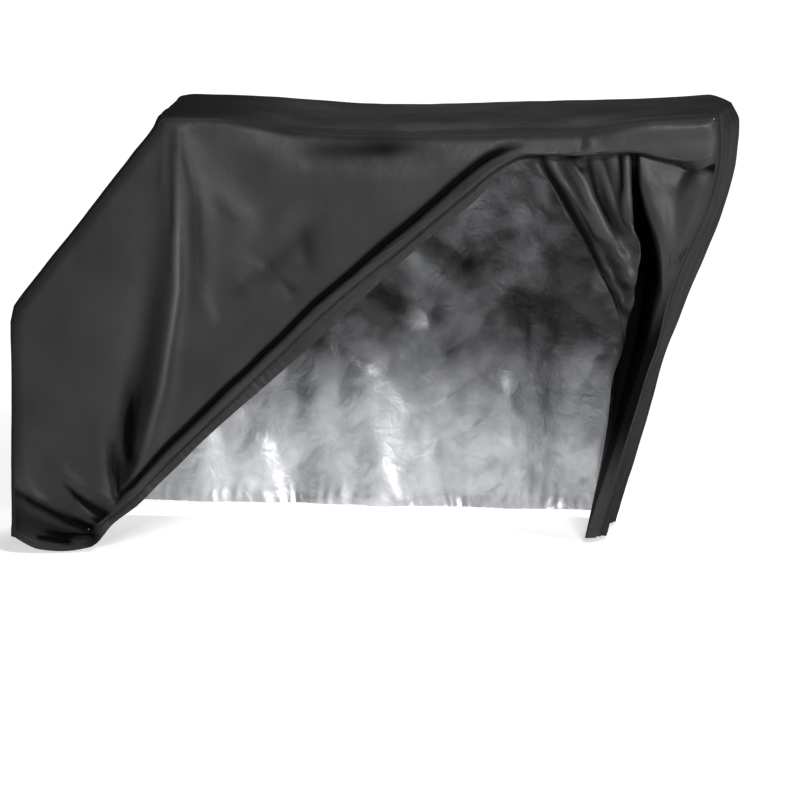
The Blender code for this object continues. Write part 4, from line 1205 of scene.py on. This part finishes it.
def sewing_thread():
    material, shader, start = new_material("sewing_thread")
    twist = start.math("SINE", cloud(start, 0.001, 21.0, 0.0) * 12.0)
    feed(shader, "Base Color", mix_colors(twist.ramp(-1.0, 1.0), THREAD_DARK, THREAD_LIGHT))
    feed(shader, "Normal", bump(start, twist, 0.4, 0.0003))
    shader.inputs["Roughness"].default_value = 0.6
    return material


CLOTH_FACES = (black_cloth(), silver_coating())
THREAD = sewing_thread()
print("finishes:", [face.name for face in CLOTH_FACES], THREAD.name)

# %% [markdown]
# ## From a grid to a sheet
# A sheet gets its outer face, its inner face and the narrow edge round it. Where it is hemmed,
# the cloth is doubled, so the sheet is thicker there, with a small step at the row of stitches.
# Each point carries its place in the flat cloth, for the weave, and its shares of the finish,
# which hold painted shade and painted highlights too.

# %% Sheets
CLOTH = 0.0010            # thickness of the single cloth
HEM_CLOTH = 0.0026        # and of the doubled hem
HEM_WIDTH = 0.022
HEM_STEP = 0.0035         # over which it changes from one to the other
SHADE = (0.10, 0.42)      # painted shade on the silver coating, from this height up over this much
# the strip's painted shade lies above this height, fading in over this much
TOP_LEVEL = (0.6, 0.3)
collection = bpy.context.scene.collection


def sheet_faces(lines, rows, flip):
    """Triangles of the outer face and of the rim, and the corners of the rim in the outer face."""
    index = np.arange(lines * rows).reshape(lines, rows)
    outer = np.stack([index[:-1, :-1], index[:-1, 1:], index[1:, 1:], index[1:, :-1]], -1).reshape(-1, 4)
    ring = np.concatenate([index[:, 0], index[-1, 1:], index[-2::-1, -1], index[0, -2:0:-1]])
    after, under = np.roll(ring, -1), lines * rows
    rim = np.stack([ring, after, after + under, ring + under], -1)
    if flip:
        outer, rim = outer[:, ::-1], rim[:, ::-1]
    outer, rim = (np.vstack([quads[:, :3], quads[:, [0, 2, 3]]]) for quads in (outer, rim))
    return outer, rim, ring


def sharpen_rim(mesh, corners):
    mesh.attributes.new("sharp_edge", "BOOLEAN", "EDGE")
    ends = np.empty(2 * len(mesh.edges), int)
    mesh.edges.foreach_get("vertices", ends)
    on_rim = np.isin(ends, corners).reshape(-1, 2).all(axis=1)
    mesh.attributes["sharp_edge"].data.foreach_set("value", on_rim)


def map_cut(mesh, grid):
    """Each corner's place in the flat cloth, in metres, from the lengths of the grid's lines."""
    cut = np.stack([lengths_along(grid, 0), lengths_along(grid, 1)], axis=-1)
    cut = np.tile(cut.reshape(-1, 2), (2, 1))
    corners = np.empty(len(mesh.loops), int)
    mesh.loops.foreach_get("vertex_index", corners)
    mesh.uv_layers.new(name="cut").data.foreach_set("uv", cut[corners].ravel())


def make_sheet(name, grid, normal, hem, flip=False, marks=None):
    """hem is 1 along a hem and falls to 0 over its width; marks are more shares of the finish, the painted
    shade and highlights.
    """
    under = grid.shape[0] * grid.shape[1]
    doubled = smooth(hem * HEM_WIDTH / HEM_STEP)
    half = ((CLOTH + (HEM_CLOTH - CLOTH) * doubled) / 2)[..., None]
    points = np.vstack([(grid + normal * half).reshape(-1, 3), (grid - normal * half).reshape(-1, 3)])
    points[:, 2] += FLOOR
    outer, rim, ring = sheet_faces(*grid.shape[:2], flip)
    faces = np.vstack([outer, outer[:, ::-1] + under, rim])
    mesh = bpy.data.meshes.new(name)
    mesh.from_pydata(points.tolist(), [], faces.tolist())
    for material in CLOTH_FACES:
        mesh.materials.append(material)
    slots = np.zeros(len(faces), int)
    slots[len(outer):2 * len(outer)] = 1
    mesh.polygons.foreach_set("material_index", slots)
    mesh.polygons.foreach_set("use_smooth", [True] * len(faces))
    sharpen_rim(mesh, np.concatenate([ring, ring + under]))
    map_cut(mesh, grid)
    # shade: painted shade for the silver coating towards the top
    for label, values in {"hem": hem, "shade": fade(grid[..., 2], *SHADE), **(marks or {})}.items():
        values = np.tile(np.clip(values, 0, 1).ravel(), 2)
        mesh.attributes.new(label, "FLOAT", "POINT").data.foreach_set("value", values)
    mesh.update()
    piece = bpy.data.objects.new(name, mesh)
    collection.objects.link(piece)
    area = sum(face.area for face in mesh.polygons if face.material_index == 1)
    print(name, "faces:", len(faces), "inner face area:", round(area, 3))
    return piece


def hem_band(*runs):
    return np.clip(1 - np.min(runs, axis=0) / HEM_WIDTH, 0, 1)


near_cloth = make_sheet("near_side_cloth", near_grid, near_normal, hem_band(length_from(near_grid, -1)),
                        marks=near_marks)
far_cloth = make_sheet("far_side_cloth", far_grid, far_normal, hem_band(length_from(far_grid, -1)), flip=True)
strip_hem = hem_band(*(length_from(strip_grid, row, axis=0) for row in (0, -1)))
# painted shade on the top of the centre strip
top_painted_shade = np.interp(strip_grid[..., 0], *zip(*TOP_PAINTED_SHADE)) * fade(strip_grid[..., 2], *TOP_LEVEL)
strip_cloth = make_sheet("centre_strip_cloth", strip_grid, strip_normal, strip_hem, flip=True,
                         marks={"trough": top_painted_shade})

# %% [markdown]
# ## Sewing
# Every hem and both long seams are sewn with a row of short stitches. Each stitch is a small
# rounded bar that lies on the outer face, half sunk in it, so the rows are real geometry.

# %% Stitches
STITCH = (0.0034, 0.0008, 0.0007)   # length, width and height
STITCH_RINGS = ((-0.5, 0.35), (-0.3, 1.0), (0.3, 1.0), (0.5, 0.35))   # along it, and how thick
STITCH_STEP = 0.0052
CORNERS = 6               # of each ring
HEM_LINE = HEM_WIDTH - 0.003
SEAM_LINE = 0.004


def stitch_shape():
    turns = np.linspace(0, 2 * math.pi, CORNERS, endpoint=False)
    length, wide, high = STITCH
    points = [(share * length, math.cos(turn) * swell * wide / 2, math.sin(turn) * swell * high / 2)
              for share, swell in STITCH_RINGS for turn in turns]
    faces = []
    for ring in range(len(STITCH_RINGS) - 1):
        for side in range(CORNERS):
            a, b = ring * CORNERS + side, ring * CORNERS + (side + 1) % CORNERS
            faces.append((a, b, b + CORNERS, a + CORNERS))
    faces.append(tuple(range(CORNERS))[::-1])
    faces.append(tuple(range(len(points) - CORNERS, len(points))))
    return np.array(points), faces


STITCH_POINTS, STITCH_FACES = stitch_shape()


def sample_run(path, normals, step):
    run = lengths_along(path)
    spots = np.arange(step, run[-1] - step / 2, step)
    place, ahead, up = (np.stack([np.interp(where, run, line[:, axis]) for axis in range(3)], 1)
                        for where, line in ((spots, path), (spots + step / 2, path), (spots, normals)))
    return place, ahead - place, up


def sew(name, runs):
    """One piece with a stitch at every step of each (path, outward normals)."""
    points, faces = [], []
    for path, normals in runs:
        for place, along, up in zip(*sample_run(path, normals, STITCH_STEP)):
            along = along / (np.linalg.norm(along) + 1e-9)
            up = up - along * (up @ along)
            up /= np.linalg.norm(up) + 1e-9
            axes = np.stack([along, np.cross(up, along), up])
            base = len(points) * len(STITCH_POINTS)
            points.append(STITCH_POINTS @ axes + place)
            faces += [tuple(corner + base for corner in face) for face in STITCH_FACES]
    points = np.vstack(points)
    points[:, 2] += FLOOR
    mesh = bpy.data.meshes.new(name)
    mesh.from_pydata(points.tolist(), [], faces)
    mesh.polygons.foreach_set("use_smooth", [True] * len(faces))
    mesh.materials.append(THREAD)
    piece = bpy.data.objects.new(name, mesh)
    collection.objects.link(piece)
    print(name, "stitches:", len(points) // len(STITCH_POINTS))
    return piece


def row_at(grid, normal, run, distance, half):
    """The line on the outer face where run, along the rows, is the given distance."""
    path, ways = [], []
    for points, ups, lengths in zip(grid, normal, run):
        order = np.argsort(lengths)
        path.append([np.interp(distance, lengths[order], points[order, axis]) for axis in range(3)])
        ways.append([np.interp(distance, lengths[order], ups[order, axis]) for axis in range(3)])
    path, ways = np.array(path), np.array(ways)
    return path + ways * half, ways


def side_rows(grid, normal):
    """A side's rows of stitches: along its hem and beside its seam."""
    return [row_at(grid, normal, length_from(grid, -1), HEM_LINE, HEM_CLOTH / 2),
            row_at(grid, normal, length_from(grid, 0), SEAM_LINE, CLOTH / 2)]


def end_rows(grid, normal):
    """The strip's rows of stitches, along the hems at its two ends."""
    turned, ways = grid.transpose(1, 0, 2), normal.transpose(1, 0, 2)
    runs = [length_from(grid, row, axis=0).T for row in (0, -1)]
    return [row_at(turned, ways, run, HEM_LINE, HEM_CLOTH / 2) for run in runs]


near_stitching = sew("near_side_stitching", side_rows(near_grid, near_normal))
far_stitching = sew("far_side_stitching", side_rows(far_grid, far_normal))
strip_stitching = sew("centre_strip_stitching", end_rows(strip_grid, strip_normal))

# %% [markdown]
# ## Ties to the solids
# Each cloth takes the place of its solid and rides on the one body.

# %% Ties
CLOTHS = ((near_cloth, "side_panel_near"), (far_cloth, "side_panel_far"), (strip_cloth, "centre_strip"))
for piece, node in CLOTHS:
    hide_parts(node)
    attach(piece, "root")
for piece in (near_stitching, far_stitching, strip_stitching):
    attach(piece, "root")

print("sheets:", [piece.name for piece, _ in CLOTHS])
